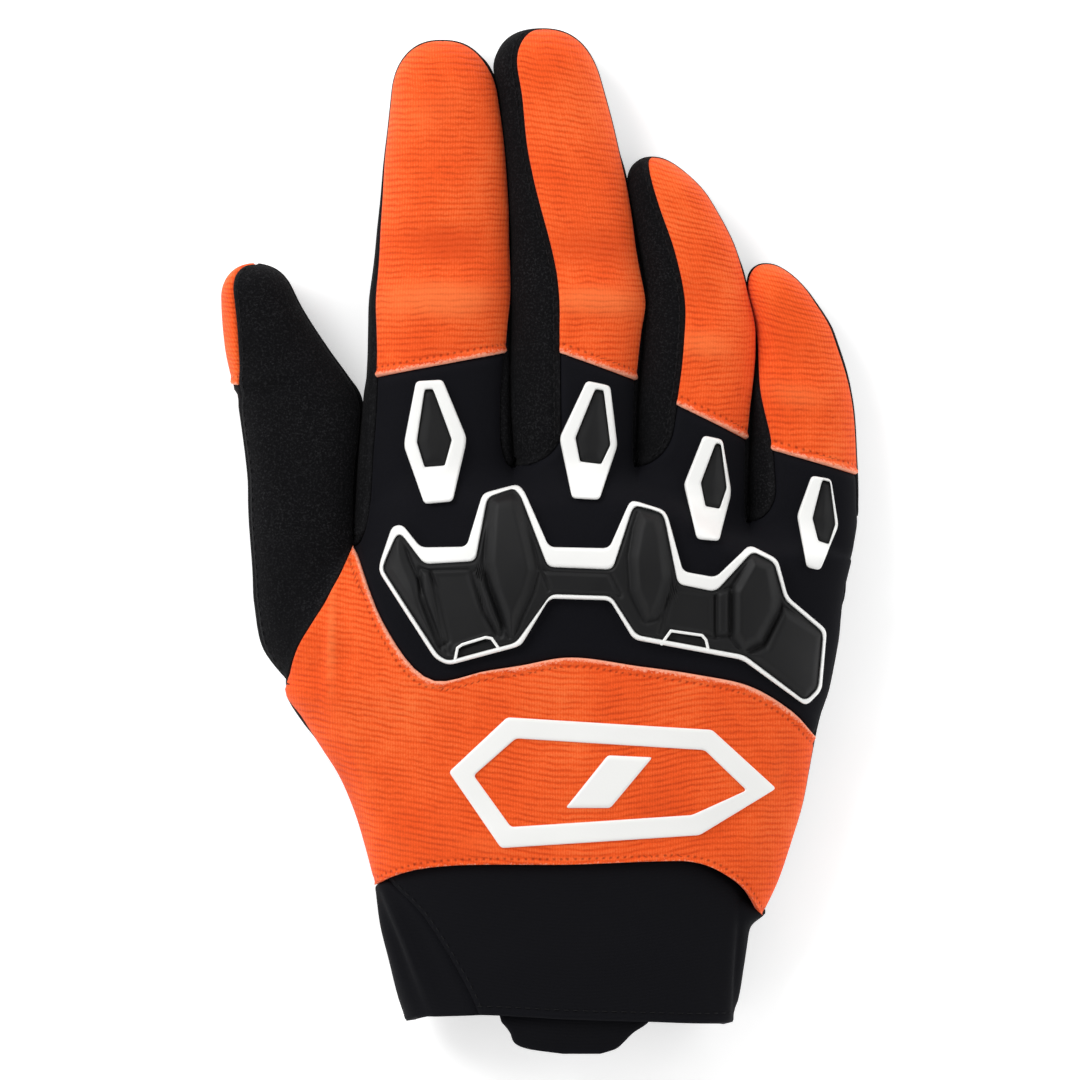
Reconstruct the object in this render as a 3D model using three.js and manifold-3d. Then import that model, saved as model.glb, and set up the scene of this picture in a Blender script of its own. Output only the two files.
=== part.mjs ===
import * as THREE from 'three';
import Module from 'manifold-3d';

const wasm = await Module();
wasm.setup();

// Overall sizes of the right-hand glove, millimetres
const FINGER_PITCH = 28.4;
const HAND_LENGTH = 96.6;
const FINGER_REACH = 100.5;
const THUMB_LENGTH = 98;
const THUMB_WIDTH = 27.2;
const CUFF_LENGTH = 30.6;
const HAND_THICKNESS = 30;
const FINGER_THICKNESS = 22;
const THUMB_THICKNESS = 21;
const CUFF_THICKNESS = 25.5;

// Walls of the panels
const KNIT_WALL = 1.2;
const SUEDE_WALL = 1.2;
const KNUCKLE_WALL = 1.8;
const NEOPRENE_WALL = 2.4;
const EDGE_WALL = 0.9;
const TAB_WALL = 1.8;

// Clearances and the rounding of the tubes
const SEAM_GAP = 0.35;
const FINGER_GAP = 0.8;
const SEAT_GAP = 0.3;
const CUFF_GAP = 0.25;
const ROUNDNESS = 2.3;
const FLOOR_BLEND = 2;
const FINGER_BLEND = 7;
const THUMB_BLEND = 10;
const HAND_SINK = 3;
const FINGER_SINK = 2.2;
const HAND_LEAN = 0.387;
const WEB_DROP = 12.1;
const WEB_FILL = 3.5;
const WEB_RISE = 2.5;
const TIP_THIN = 0.8;
const THUMB_THIN = 0.8;

// Things moulded on top
const GUARD_HEIGHT = 1.6;
const LOBE_HEIGHT = 1.5;
const TRIM_HEIGHT = 1.9;
const TRIM_WIDTH = 1.1;
const PAD_HEIGHT = 1.5;
const INSERT_HEIGHT = 1;
const PRINT_HEIGHT = 0.5;
const PRINT_SEAT = 0.2;
const CORNER = 1.4;
const SINK_IN = 0.8;

// Grid counts
const ACROSS = 5;
const HAND_ROWS = 7;
const SIDE_ROWS = 3;
const KNUCKLE_ROWS = 4;
const ROOT_ROWS = 3;
const FINGER_ROWS = 3;
const TIP_ROWS = 4;
const BAND_ACROSS = 4;
const ROOT_CROWD = 1.4;

const table = (names, ...rows) => rows.map((row) => (
  Object.fromEntries(names.split(' ').map((name, i) => [name, row[i]]))));

// Hand sections: at is the share of HAND_LENGTH from the wrist, left and right the
// reach from the centre line in pairs of finger pitches, top a share of the thickness
const HAND = table('at left right top',
  [-0.15, 0.70, 0.77, 0.88],
  [0, 0.769, 0.865, 0.90],
  [0.155, 0.875, 0.924, 0.92],
  [0.274, 0.986, 0.942, 0.94],
  [0.4, 1.14, 0.962, 0.96],
  [0.464, 1.213, 0.985, 0.98],
  [0.58, 1.15, 1.002, 1.0],
  [0.68, 1.06, 1.003, 1.02],
  [0.79, 0.985, 1.022, 1.02],
  [0.9, 0.995, 1.02, 0.95],
  [1.0, 1.005, 1.0, 0.84]);

// Lines between the fingers: at is the share of FINGER_REACH past the index gap,
// the others are places across the hand in finger pitches
const SLOTS = table('at thumb_index index_middle middle_ring ring_little outer',
  [-0.55, -1.757, -0.35, 0.60, 1.45, 2.28],
  [-0.3, -1.717, -0.373, 0.599, 1.482, 2.34],
  [-0.174, -1.693, -0.385, 0.597, 1.492, 2.38],
  [-0.12, -1.684, -0.389, 0.595, 1.498, 2.39],
  [0, -1.657, -0.397, 0.591, 1.503, 2.39],
  [0.15, -1.61, -0.429, 0.607, 1.531, 2.35],
  [0.3, -1.58, -0.425, 0.648, 1.567, 2.208],
  [0.38, -1.565, -0.421, 0.672, 1.510, 2.035],
  [0.5, -1.530, -0.425, 0.607, 1.395, 1.75],
  [0.6, -1.488, -0.437, 0.543, 1.205, 1.50],
  [0.7, -1.452, -0.462, 0.474, 0.965, 1.25],
  [0.84, -1.388, -0.518, 0.352, 0.70, 0.95],
  [0.93, -1.372, -0.575, 0.267, 0.53, 0.75],
  [1.0, -1.36, -0.590, 0.227, 0.40, 0.65]);
const SLOT_NAMES = ['thumb_index', 'index_middle', 'middle_ring', 'ring_little', 'outer'];

// Fingers: tip, root and the two ends of the seam of the back are shares of
// FINGER_REACH, round the rounded end in finger pitches, tall a share of the thickness
const FINGERS = table('name root tip round tall seam_left seam_right',
  ['index', 0, 0.973, 0.44, 1, 0.199, 0.254],
  ['middle', -0.01, 1.0, 0.42, 1, 0.254, 0.192],
  ['ring', -0.06, 0.705, 0.34, 0.94, 0.135, 0.057],
  ['little', -0.12, 0.46, 0.30, 0.86, 0.032, -0.023]);

// How far each back panel stops short of the side of its finger, in half widths
const INSETS = table('at index_left index_right middle_left ring_left little_left right',
  [0, 0.16, 0.14, 0.76, 0.50, 0.48, 0.03],
  [0.15, 0.16, 0.12, 0.78, 0.60, 0.42, 0.04],
  [0.3, 0.16, 0.08, 0.74, 0.72, 0.30, 0.05],
  [0.45, 0.16, 0.03, 0.68, 0.75, 0.15, 0.08],
  [0.7, 0.14, 0.03, 0.37, 0.79, 0.15, 0.06],
  [0.85, 0.10, 0.03, 0.38, 0.72, 0.08, 0.05],
  [1, 0.05, 0.05, 0.42, 0.62, 0.05, 0.05]);
const PALM_INSET = 0.12;
const TIP_INSET = 0.07;

// Thumb sections: at is the share of THUMB_LENGTH, offset from the line beside the
// index finger and half width in thumb widths, edge the inset of the orange back
const THUMB = table('at offset half edge',
  [-0.1, 0.02, 0.46, 0.04],
  [0, -0.02, 0.491, 0.04],
  [0.1, -0.20, 0.535, 0.05],
  [0.2, -0.315, 0.505, 0.05],
  [0.27, -0.37, 0.475, 0.05],
  [0.35, -0.425, 0.458, 0.05],
  [0.42, -0.455, 0.452, 0.05],
  [0.5, -0.473, 0.461, 0.05],
  [0.68, -0.552, 0.526, 0.06],
  [0.8, -0.765, 0.440, 0.26],
  [0.92, -0.940, 0.322, 0.34],
  [1, -0.99, 0.29, 0.22]);
const THUMB_START = 0.464;
const THUMB_WEB = 0.87;
const THUMB_RISE = 6;
const THUMB_SEAM = 0.715;
const THUMB_ROUND = 0.305;

// Seams across the back: along counts finger columns from the thumb side,
// x in finger pitches, y a share of HAND_LENGTH
const WRIST_SEAM = table('along x y',
  [0, -1.531, -0.002], [0.25, -1.377, 0.021], [0.5, -1.150, 0.040], [1, -0.769, 0.050],
  [2, 0, 0.051], [3, 0.761, 0.059], [3.25, 0.972, 0.057], [3.5, 1.166, 0.038],
  [3.75, 1.385, -0.007], [4, 1.531, -0.074]);
const KNUCKLE_SEAM = table('along x y',
  [0, -1.685, 0.819], [0.345, -1.433, 0.626], [0.655, -1.069, 0.498], [0.905, -0.6, 0.519],
  [1, -0.372, 0.529], [1.5, 0.065, 0.548], [2, 0.599, 0.526], [2.5, 1.053, 0.505],
  [3, 1.482, 0.476], [3.5, 1.814, 0.417], [4, 2.017, 0.355]);
const THUMB_BACK_SEAM = table('along x y',
  [0, -2.203, 0.464], [0.25, -2.122, 0.560], [0.5, -1.976, 0.640], [0.75, -1.822, 0.724],
  [1, -1.685, 0.819]);
const THUMB_PALM_SEAM = table('along x y',
  [0, -2.203, 0.464], [0.25, -1.96, 0.560], [0.5, -1.80, 0.640], [0.75, -1.74, 0.724],
  [1, -1.685, 0.819]);
const RIGHT_END = 0.355;

// Cuff sections: at is the share of CUFF_LENGTH from the wrist, places in finger pitches
const CUFF = table('at left right top',
  [-0.3, -1.56, 1.56, 1.02], [0, -1.54, 1.55, 1], [0.3, -1.485, 1.51, 0.99],
  [0.64, -1.39, 1.472, 0.985], [0.86, -1.33, 1.455, 0.99], [1, -1.285, 1.43, 1],
  [1.1, -1.27, 1.42, 1]);
const HEM = table('along x y',
  [0, -1.285, -1.03], [0.5, -1.05, -0.985], [1, -0.52, -0.97], [2, 0.1, -1.0],
  [3, 0.8, -1.02], [3.5, 1.15, -1.03], [4, 1.43, -1.03]);
const GUSSET = table('at along', [0, 0.2], [0.3, 0.46], [0.64, 0.7], [0.86, 0.84], [1, 0.9]);
const TAB = table('at left right', [0, -0.54, 0.62], [0.42, -0.5, 0.69], [0.5, -0.47, 0.655],
  [0.62, -0.43, 0.57], [0.82, -0.385, 0.478], [0.92, -0.27, 0.42], [1, 0, 0.30]);
const TAB_LENGTH = 13;
const TAB_START = 0.84;
const TAB_DROOP = 2.5;

const mix = (a, b, t) => a + (b - a) * t;
const clamp = (t) => Math.min(1, Math.max(0, t));
const ease = (t) => clamp(t) ** 2 * (3 - 2 * clamp(t));
const softMin = (a, b, r) => Math.min(a, b) - Math.max(r - Math.abs(a - b), 0) ** 2 / (4 * r);
const softMax = (a, b, r) => -softMin(-a, -b, r);

// One column of a table, read smoothly between its rows
function follow(rows, name, at, key = 'at') {
  const last = rows.length - 2;
  let i = 0;
  while (i < last && at > rows[i + 1][key]) i += 1;
  const slope = (j) => {
    const a = rows[Math.max(j - 1, 0)];
    const b = rows[Math.min(j + 1, rows.length - 1)];
    return (b[name] - a[name]) / (b[key] - a[key]);
  };
  const span = rows[i + 1][key] - rows[i][key];
  const t = clamp((at - rows[i][key]) / span);
  const h = t * t * (3 - 2 * t);
  const bend = t * (1 - t) * span;
  return mix(rows[i][name], rows[i + 1][name], h)
    + bend * ((1 - t) * slope(i) - t * slope(i + 1));
}

// The same without smoothing, for seams with corners
function corner(rows, name, at) {
  let i = 0;
  while (i < rows.length - 2 && at > rows[i + 1].along) i += 1;
  const t = (at - rows[i].along) / (rows[i + 1].along - rows[i].along);
  return mix(rows[i][name], rows[i + 1][name], clamp(t));
}

// Distance-like measure of a superelliptic tube with a rounded end
function swell(x, z, y, wide, high, end) {
  const u = Math.abs(x) / wide;
  const v = Math.abs(z) / high;
  const w = Math.max(y, 0) / end;
  const p = ROUNDNESS;
  const q = (u ** p + v ** p + w ** p) ** (1 / p) + 1e-6;
  const steep = Math.hypot(u ** (p - 1) / wide, v ** (p - 1) / high, w ** (p - 1) / end);
  return (q - 1) * q ** (p - 1) / (steep + 1e-6);
}

const reach = (y) => (y - HAND_LENGTH) / FINGER_REACH;
const along = (at) => HAND_LENGTH + FINGER_REACH * at;
const slotX = (s, y) => FINGER_PITCH * follow(SLOTS, SLOT_NAMES[s], reach(y));
const handCentre = (y) => FINGER_PITCH * HAND_LEAN * y / HAND_LENGTH;
const handHigh = (y) => (HAND_THICKNESS * follow(HAND, 'top', y / HAND_LENGTH) + HAND_SINK) / 2;
const webDrop = (x) => {
  const a = FINGER_PITCH * SLOTS[4].middle_ring;
  const b = FINGER_PITCH * SLOTS[4].ring_little;
  return WEB_DROP * ease((x - a) / (b - a));
};

function hand(x, y, z) {
  const dx = x - handCentre(y);
  const wide = 2 * FINGER_PITCH * follow(HAND, dx < 0 ? 'left' : 'right', y / HAND_LENGTH);
  const high = handHigh(y);
  const past = y - (HAND_LENGTH - WEB_FILL - webDrop(x) - FINGER_BLEND);
  return swell(dx, z - high + HAND_SINK, past, wide, high, FINGER_BLEND);
}

function fingerSection(k, y) {
  const f = FINGERS[k];
  const left = slotX(k, y) + FINGER_GAP / 2;
  const right = slotX(k + 1, y) - FINGER_GAP / 2;
  const u = clamp((reach(y) - f.root) / (f.tip - f.root));
  const high = (FINGER_THICKNESS * f.tall * mix(1, TIP_THIN, u) + FINGER_SINK) / 2;
  return { centre: (left + right) / 2, half: (right - left) / 2, high, level: high - FINGER_SINK };
}

function finger(k, x, y, z) {
  const s = fingerSection(k, y);
  const round = FINGERS[k].round * FINGER_PITCH;
  const past = y - along(FINGERS[k].tip) + round;
  const tail = (along(FINGERS[k].root) - 16 - y) * round / 12;
  return swell(x - s.centre, z - s.level, Math.max(past, tail), s.half, s.high, round);
}

function thumbSection(y) {
  const t = (y - THUMB_START * HAND_LENGTH) / THUMB_LENGTH;
  const free = ease((y - THUMB_WEB * HAND_LENGTH) / 3);
  const offset = THUMB_WIDTH * follow(THUMB, 'offset', t);
  const half = THUMB_WIDTH * follow(THUMB, 'half', t);
  const over = Math.max(offset + half + FINGER_GAP / 2, 0) * free;
  const high = (THUMB_THICKNESS * mix(1, THUMB_THIN, clamp(t)) + FINGER_SINK) / 2;
  return {
    centre: slotX(0, y) + offset - over / 2, half: half - over / 2, high,
    level: high - FINGER_SINK,
  };
}

const thumbTip = THUMB_START * HAND_LENGTH + THUMB_LENGTH;
const thumbCap = THUMB_ROUND * THUMB_WIDTH;
function thumb(x, y, z) {
  const s = thumbSection(y);
  const past = y - thumbTip + thumbCap;
  const tail = (THUMB_START * HAND_LENGTH + 12 - y) * thumbCap / 20;
  return swell(x - s.centre, z - s.level, Math.max(past, tail), s.half, s.high, thumbCap);
}

// Whole surfaces: hand with one finger, hand with thumb, all cut flat by the floor
const outerEdge = (x, y) => {
  const dx = x - handCentre(y);
  const wide = 2 * FINGER_PITCH * follow(HAND, dx < 0 ? 'left' : 'right', y / HAND_LENGTH);
  return 1 - ease((Math.abs(dx) / wide - 0.78) / 0.2);
};
const webLine = THUMB_WEB * HAND_LENGTH;
const startLine = THUMB_START * HAND_LENGTH;
const thumbBlend = (y) => 0.01 + THUMB_BLEND
  * ease((y - startLine) / 15) * (1 - ease((y - webLine + 17) / 17));
function body(k, withThumb = true) {
  return (x, y, z) => {
    let f = softMin(hand(x, y, z), finger(k, x, y, z), 0.01 + FINGER_BLEND * outerEdge(x, y));
    if (withThumb && y < webLine) f = softMin(f, thumb(x, y, z), thumbBlend(y));
    return softMax(f, -z, FLOOR_BLEND);
  };
}
const BODIES = FINGERS.map((f, k) => body(k));
const thumbBody = (x, y, z) => (y < webLine ? BODIES[0](x, y, z)
  : softMax(thumb(x, y, z), -z, FLOOR_BLEND));
const columnOf = (x, y) => [1, 2, 3].filter((s) => x > slotX(s, y)).length;
const wholeHand = (x, y, z) => BODIES[columnOf(x, y)](x, y, z);
function cuffBody(x, y, z) {
  const t = -y / CUFF_LENGTH;
  const left = FINGER_PITCH * follow(CUFF, 'left', t);
  const right = FINGER_PITCH * follow(CUFF, 'right', t);
  const high = (CUFF_THICKNESS * follow(CUFF, 'top', t) + HAND_SINK) / 2;
  const f = swell(x - (left + right) / 2, z - high + HAND_SINK, 0, (right - left) / 2, high, 1);
  return softMax(f, -z, FLOOR_BLEND);
}

// Searches on those surfaces
function cross(f, inside, outside) {
  let a = inside;
  let b = outside;
  for (let i = 0; i < 26; i += 1) {
    const m = (a + b) / 2;
    if (f(m) < 0) a = m;
    else b = m;
  }
  return (a + b) / 2;
}
function depth(field, x, y) {
  let best = 0;
  let low = Infinity;
  for (let z = 0.8; z < 24; z += 1.1) {
    const f = field(x, y, z);
    if (f < low) {
      low = f;
      best = z;
    }
  }
  return best;
}
const onTop = (field, x, y) => cross((z) => field(x, y, z), depth(field, x, y), 60);
const onBottom = (field, x, y) => cross((z) => field(x, y, z), depth(field, x, y), -1);
function normalOf(field, p) {
  const h = 0.03;
  const g = new THREE.Vector3(
    field(p.x + h, p.y, p.z) - field(p.x - h, p.y, p.z),
    field(p.x, p.y + h, p.z) - field(p.x, p.y - h, p.z),
    field(p.x, p.y, p.z + h) - field(p.x, p.y, p.z - h));
  return g.multiplyScalar(0.5 / h);
}
function settle(field, start) {
  const p = start.clone();
  for (let i = 0; i < 12; i += 1) {
    const g = normalOf(field, p);
    const step = Math.min(2, Math.max(-2, field(p.x, p.y, p.z) / (g.lengthSq() + 1e-4)));
    p.addScaledVector(g, -step);
  }
  return p;
}
const vec = (x, y, z) => new THREE.Vector3(x, y, Math.abs(z) < 1e-3 ? 0 : z);
const lift = (field, x, y, face) => vec(x, y, face === 'top' ? onTop(field, x, y)
  : onBottom(field, x, y));

// The gaps between fingers, where the two side bands meet
const WEBS = FINGERS.map((f, s) => {
  const fields = s === 0 ? [BODIES[0]] : [BODIES[s - 1], BODIES[s]];
  const field = (x, y, z) => Math.min(...fields.map((f) => f(x, y, z)));
  const level = fingerSection(s, along(FINGERS[s].root)).level;
  const start = s === 0 ? webLine - 12 : along(FINGERS[s].root) - 12;
  const deep = (z) => cross((y) => field(slotX(s, y), y, z), start, start + 26);
  const y = deep(level) - (s === 0 ? THUMB_RISE : WEB_RISE);
  const ends = { top: lift(field, slotX(s, y), y, 'top'), palm: lift(field, slotX(s, y), y, 'palm') };
  const line = [];
  for (let i = 0; i <= BAND_ACROSS; i += 1) {
    const z = mix(ends.top.z, ends.palm.z, i / BAND_ACROSS);
    const at = i % BAND_ACROSS === 0 ? y : deep(z);
    line.push(vec(slotX(s, at), at, z));
  }
  line[0] = ends.top;
  line[BAND_ACROSS] = ends.palm;
  return { y, field, fields, line, ...ends };
});

const sideX = (field, y, from, to, z) => cross((x) => field(x, y, z), from, to);
const sidePoint = (y, side) => {
  const z = handHigh(y) - HAND_SINK;
  const x = sideX(wholeHand, y, handCentre(y), side * 2.6 * FINGER_PITCH, z);
  return vec(x, y, z);
};
const LITTLE_ROOT = along(FINGERS[3].root);
const fingerRows = ROOT_ROWS + FINGER_ROWS;

// Edge of a back or palm panel on finger k: side -1 left, 1 right; rows below zero are
// on the hand, counted down from the gap
const rims = new Map();
function rim(k, side, face, row) {
  const key = `${k} ${side} ${face} ${row}`;
  if (!rims.has(key)) rims.set(key, makeRim(k, side, face, row));
  return rims.get(key);
}
function makeRim(k, side, face, row) {
  const f = FINGERS[k];
  const s = side < 0 ? k : k + 1;
  const field = BODIES[k];
  const outer = s === 4;
  const capY = along(f.tip) - f.round * FINGER_PITCH;
  const webY = outer ? LITTLE_ROOT : WEBS[s].y;
  const rootY = s === 0 ? along(f.root) : webY;
  const seamY = along(side < 0 ? f.seam_left : f.seam_right);
  const wanted = (y) => {
    const u = clamp((reach(y) - f.root) / (f.tip - f.root));
    const name = { 0: side < 0 ? 'index_left' : 'index_right', 1: 'middle_left', 2: 'ring_left',
      3: 'little_left' }[k];
    const column = k > 0 && side > 0 ? 'right' : name;
    const full = face === 'top' ? follow(INSETS, column, u) : PALM_INSET;
    const open = clamp((y - webY) / (s === 0 ? 14 : 8));
    return full * Math.sqrt(1 - (1 - open) ** 2);
  };
  if (row > fingerRows) {
    const turn = (row - fingerRows) / TIP_ROWS * Math.PI / 2;
    const p = 2 / ROUNDNESS;
    const end = face === 'top' ? TIP_INSET : PALM_INSET;
    const y = capY + f.round * FINGER_PITCH * (1 - end) * Math.sin(turn) ** p;
    const sec = fingerSection(k, y);
    const last = row === fingerRows + TIP_ROWS;
    const x = sec.centre + (last ? 0 : side * sec.half * Math.cos(turn) ** p * (1 - wanted(y)));
    return lift(field, x, y, face);
  }
  let y = row <= ROOT_ROWS ? mix(rootY, seamY, (row / ROOT_ROWS) ** ROOT_CROWD)
    : mix(seamY, capY, (row - ROOT_ROWS) / FINGER_ROWS);
  const up = 1 + row / KNUCKLE_ROWS;
  if (row < 0) y = s === 0 ? mix(webY, rootY, up ** ROOT_CROWD)
    : mix(RIGHT_END * HAND_LENGTH, rootY, up);
  if (outer && row <= 0) return sidePoint(y, 1);
  if (s === 0 && row === -KNUCKLE_ROWS) return WEBS[0][face];
  if (s > 0 && s < 4 && row === 0) return WEBS[s][face];
  const sec = fingerSection(k, y);
  const apart = side * FINGER_GAP / 2 * clamp((y - webY) / 4);
  const limit = outer ? slotX(s, y) + 4 : slotX(s, y) - apart;
  const edge = sideX(field, y, sec.centre, limit, sec.level);
  return lift(field, mix(edge, sec.centre, wanted(y)), y, face);
}

const cosine = (j, n) => (1 - Math.cos(Math.PI * j / n)) / 2;
const fingerPanel = (k, face, from, to) => ({
  rows: to - from, cols: ACROSS, field: BODIES[k],
  at: (i, j) => {
    const left = rim(k, -1, face, from + i);
    const right = rim(k, 1, face, from + i);
    if (j === 0) return left;
    if (j === ACROSS) return right;
    const t = cosine(j, ACROSS);
    return lift(BODIES[k], mix(left.x, right.x, t), mix(left.y, right.y, t), face);
  },
});

// A side band: from the back panel's edge round the side to the palm panel's edge
function bandPoint(field, top, palm, j, out) {
  if (j === 0) return top;
  if (j === BAND_ACROSS) return palm;
  const t = j / BAND_ACROSS;
  const start = top.clone().lerp(palm, t);
  if (top.distanceTo(palm) < 1e-6) return top;
  start.addScaledVector(out, 0.3 * top.distanceTo(palm) * Math.sin(Math.PI * t));
  const p = settle(field, start);
  return vec(p.x, p.y, p.z);
}
const fingerBand = (k, side, from) => ({
  rows: fingerRows + TIP_ROWS - from, cols: BAND_ACROSS, field: BODIES[k],
  at: (i, j) => {
    const row = from + i;
    const s = side < 0 ? k : k + 1;
    if (s < 4 && i === 0) return WEBS[s].line[j];
    const turn = clamp((row - fingerRows) / TIP_ROWS) * Math.PI / 2;
    const out = new THREE.Vector3(side * Math.cos(turn), Math.sin(turn), 0);
    return bandPoint(BODIES[k], rim(k, side, 'top', row), rim(k, side, 'palm', row), j, out);
  },
  share: (i) => (side < 0 ? k : k + 1) < 4 && i === 0 && WEBS[side < 0 ? k : k + 1].fields,
});

// Rows across the whole hand, from the wrist seam to the gaps between the fingers
const COLUMNS = 4 * ACROSS;
const place = (j) => Math.floor(j / ACROSS) + cosine(j % ACROSS, ACROSS);
const seamTable = (face) => (face === 'top' ? THUMB_BACK_SEAM : THUMB_PALM_SEAM);
const cornerLeft = sidePoint(startLine, -1);
function handLeft(row, face) {
  const wristY = WRIST_SEAM[0].y * HAND_LENGTH;
  if (row <= SIDE_ROWS) return sidePoint(mix(wristY, startLine, row / SIDE_ROWS), -1);
  if (row >= HAND_ROWS) return rim(0, -1, face, row - HAND_ROWS - KNUCKLE_ROWS);
  const t = (row - SIDE_ROWS) / (HAND_ROWS - SIDE_ROWS);
  const rows = seamTable(face);
  const end = WEBS[0][face];
  const off = (name, size) => size * (follow(rows, name, t, 'along')
    - mix(rows[0][name], rows[rows.length - 1][name], t));
  const x = mix(cornerLeft.x, end.x, t) + off('x', FINGER_PITCH);
  const y = mix(cornerLeft.y, end.y, t) + off('y', HAND_LENGTH);
  return lift(BODIES[0], x, y, face);
}
function handRight(row, face) {
  if (row >= HAND_ROWS) return rim(3, 1, face, row - HAND_ROWS - KNUCKLE_ROWS);
  const wristY = WRIST_SEAM[WRIST_SEAM.length - 1].y;
  return sidePoint(HAND_LENGTH * mix(wristY, RIGHT_END, row / HAND_ROWS), 1);
}
// A seam's swing away from the straight line between its two ends
function swing(rows, along4, name, size) {
  const chord = mix(rows[0][name], rows[rows.length - 1][name], along4 / 4);
  return size * (corner(rows, name, along4) - chord);
}
function webRow(along4, face) {
  const k = Math.min(3, Math.floor(along4));
  const left = rim(k, -1, face, 0);
  const right = rim(k, 1, face, 0);
  return [mix(left.x, right.x, along4 - k), mix(left.y, right.y, along4 - k)];
}
const handPoints = new Map();
function handPoint(row, j, face) {
  const key = `${row} ${j} ${face}`;
  if (!handPoints.has(key)) handPoints.set(key, makeHandPoint(row, j, face));
  return handPoints.get(key);
}
function makeHandPoint(row, j, face) {
  const left = handLeft(row, face);
  const right = handRight(row, face);
  if (j === 0) return left;
  if (j === COLUMNS) return right;
  const s = place(j);
  const total = HAND_ROWS + KNUCKLE_ROWS;
  if (row === total && j % ACROSS === 0) return WEBS[j / ACROSS][face];
  let x = mix(left.x, right.x, s / 4);
  let y = mix(left.y, right.y, s / 4);
  const low = row <= HAND_ROWS ? 1 - row / HAND_ROWS : 0;
  x += low * swing(WRIST_SEAM, s, 'x', FINGER_PITCH);
  y += low * swing(WRIST_SEAM, s, 'y', HAND_LENGTH);
  const knuckle = row <= HAND_ROWS ? row / HAND_ROWS : 1 - (row - HAND_ROWS) / KNUCKLE_ROWS;
  x += knuckle * swing(KNUCKLE_SEAM, s, 'x', FINGER_PITCH);
  y += knuckle * swing(KNUCKLE_SEAM, s, 'y', HAND_LENGTH);
  if (row > HAND_ROWS) {
    const [wx, wy] = webRow(s, face);
    const a = rim(0, -1, face, 0);
    const b = rim(3, 1, face, 0);
    const t = (row - HAND_ROWS) / KNUCKLE_ROWS;
    x += t * (wx - mix(a.x, b.x, s / 4));
    y += t * (wy - mix(a.y, b.y, s / 4));
  }
  const field = j % ACROSS === 0 && row > HAND_ROWS ? WEBS[j / ACROSS].field : wholeHand;
  return lift(field, x, y, face);
}
const handPanel = (face, from, to, first = 0, last = COLUMNS) => ({
  rows: to - from, cols: last - first, field: wholeHand,
  at: (i, j) => handPoint(from + i, first + j, face),
});

// Thumb
const thumbSeamRow = HAND_ROWS - SIDE_ROWS + ROOT_ROWS + 1;
const thumbBody0 = thumbSeamRow + FINGER_ROWS;
const thumbRims = new Map();
function thumbRim(side, face, row) {
  const key = `${side} ${face} ${row}`;
  if (!thumbRims.has(key)) thumbRims.set(key, makeThumbRim(side, face, row));
  return thumbRims.get(key);
}
function makeThumbRim(side, face, row) {
  const below = HAND_ROWS - SIDE_ROWS;
  if (row === 0) return cornerLeft;
  if (side > 0 && row <= below) return handLeft(SIDE_ROWS + row, face);
  const capY = thumbTip - thumbCap;
  const seamY = startLine + THUMB_SEAM * THUMB_LENGTH;
  const webY = WEBS[0].y;
  const inset = (y) => {
    const t = (y - startLine) / THUMB_LENGTH;
    const open = clamp((y - (side < 0 ? startLine : webY)) / 12);
    const back = side < 0 ? follow(THUMB, 'edge', t) : 0.04;
    return (face === 'top' ? back : PALM_INSET) * Math.sqrt(1 - (1 - open) ** 2);
  };
  if (row > thumbBody0) {
    const turn = (row - thumbBody0) / TIP_ROWS * Math.PI / 2;
    const p = 2 / ROUNDNESS;
    const end = face === 'top' ? TIP_INSET : PALM_INSET;
    const y = capY + thumbCap * (1 - end) * Math.sin(turn) ** p;
    const sec = thumbSection(y);
    const last = row === thumbBody0 + TIP_ROWS;
    const x = sec.centre + (last ? 0 : side * sec.half * Math.cos(turn) ** p * (1 - inset(y)));
    return lift(thumbBody, x, y, face);
  }
  let y = mix(seamY, capY, (row - thumbSeamRow) / FINGER_ROWS);
  if (row <= thumbSeamRow) y = mix(webY, seamY, (row - below) / (thumbSeamRow - below));
  if (row < below) y = mix(startLine, webY, row / below);
  const sec = thumbSection(y);
  const apart = FINGER_GAP / 2 * clamp((y - webY) / 4);
  const limit = side > 0 ? slotX(0, y) - apart : -3.6 * FINGER_PITCH;
  const edge = sideX(thumbBody, y, sec.centre, limit, sec.level);
  return lift(thumbBody, mix(edge, sec.centre, inset(y)), y, face);
}
const thumbPanel = (face) => ({
  rows: thumbBody0 + TIP_ROWS, cols: ACROSS, field: thumbBody,
  at: (i, j) => {
    const left = thumbRim(-1, face, i);
    const right = thumbRim(1, face, i);
    if (j === 0) return left;
    if (j === ACROSS) return right;
    const t = cosine(j, ACROSS);
    return lift(thumbBody, mix(left.x, right.x, t), mix(left.y, right.y, t), face);
  },
});
const thumbBand = (side, from, to) => ({
  rows: to - from, cols: BAND_ACROSS, field: thumbBody,
  at: (i, j) => {
    const row = from + i;
    if (side > 0 && i === 0) return WEBS[0].line[j];
    const turn = clamp((row - thumbBody0) / TIP_ROWS) * Math.PI / 2;
    const out = new THREE.Vector3(side * Math.cos(turn), Math.sin(turn), 0);
    return bandPoint(thumbBody, thumbRim(side, 'top', row), thumbRim(side, 'palm', row), j, out);
  },
});

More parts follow.
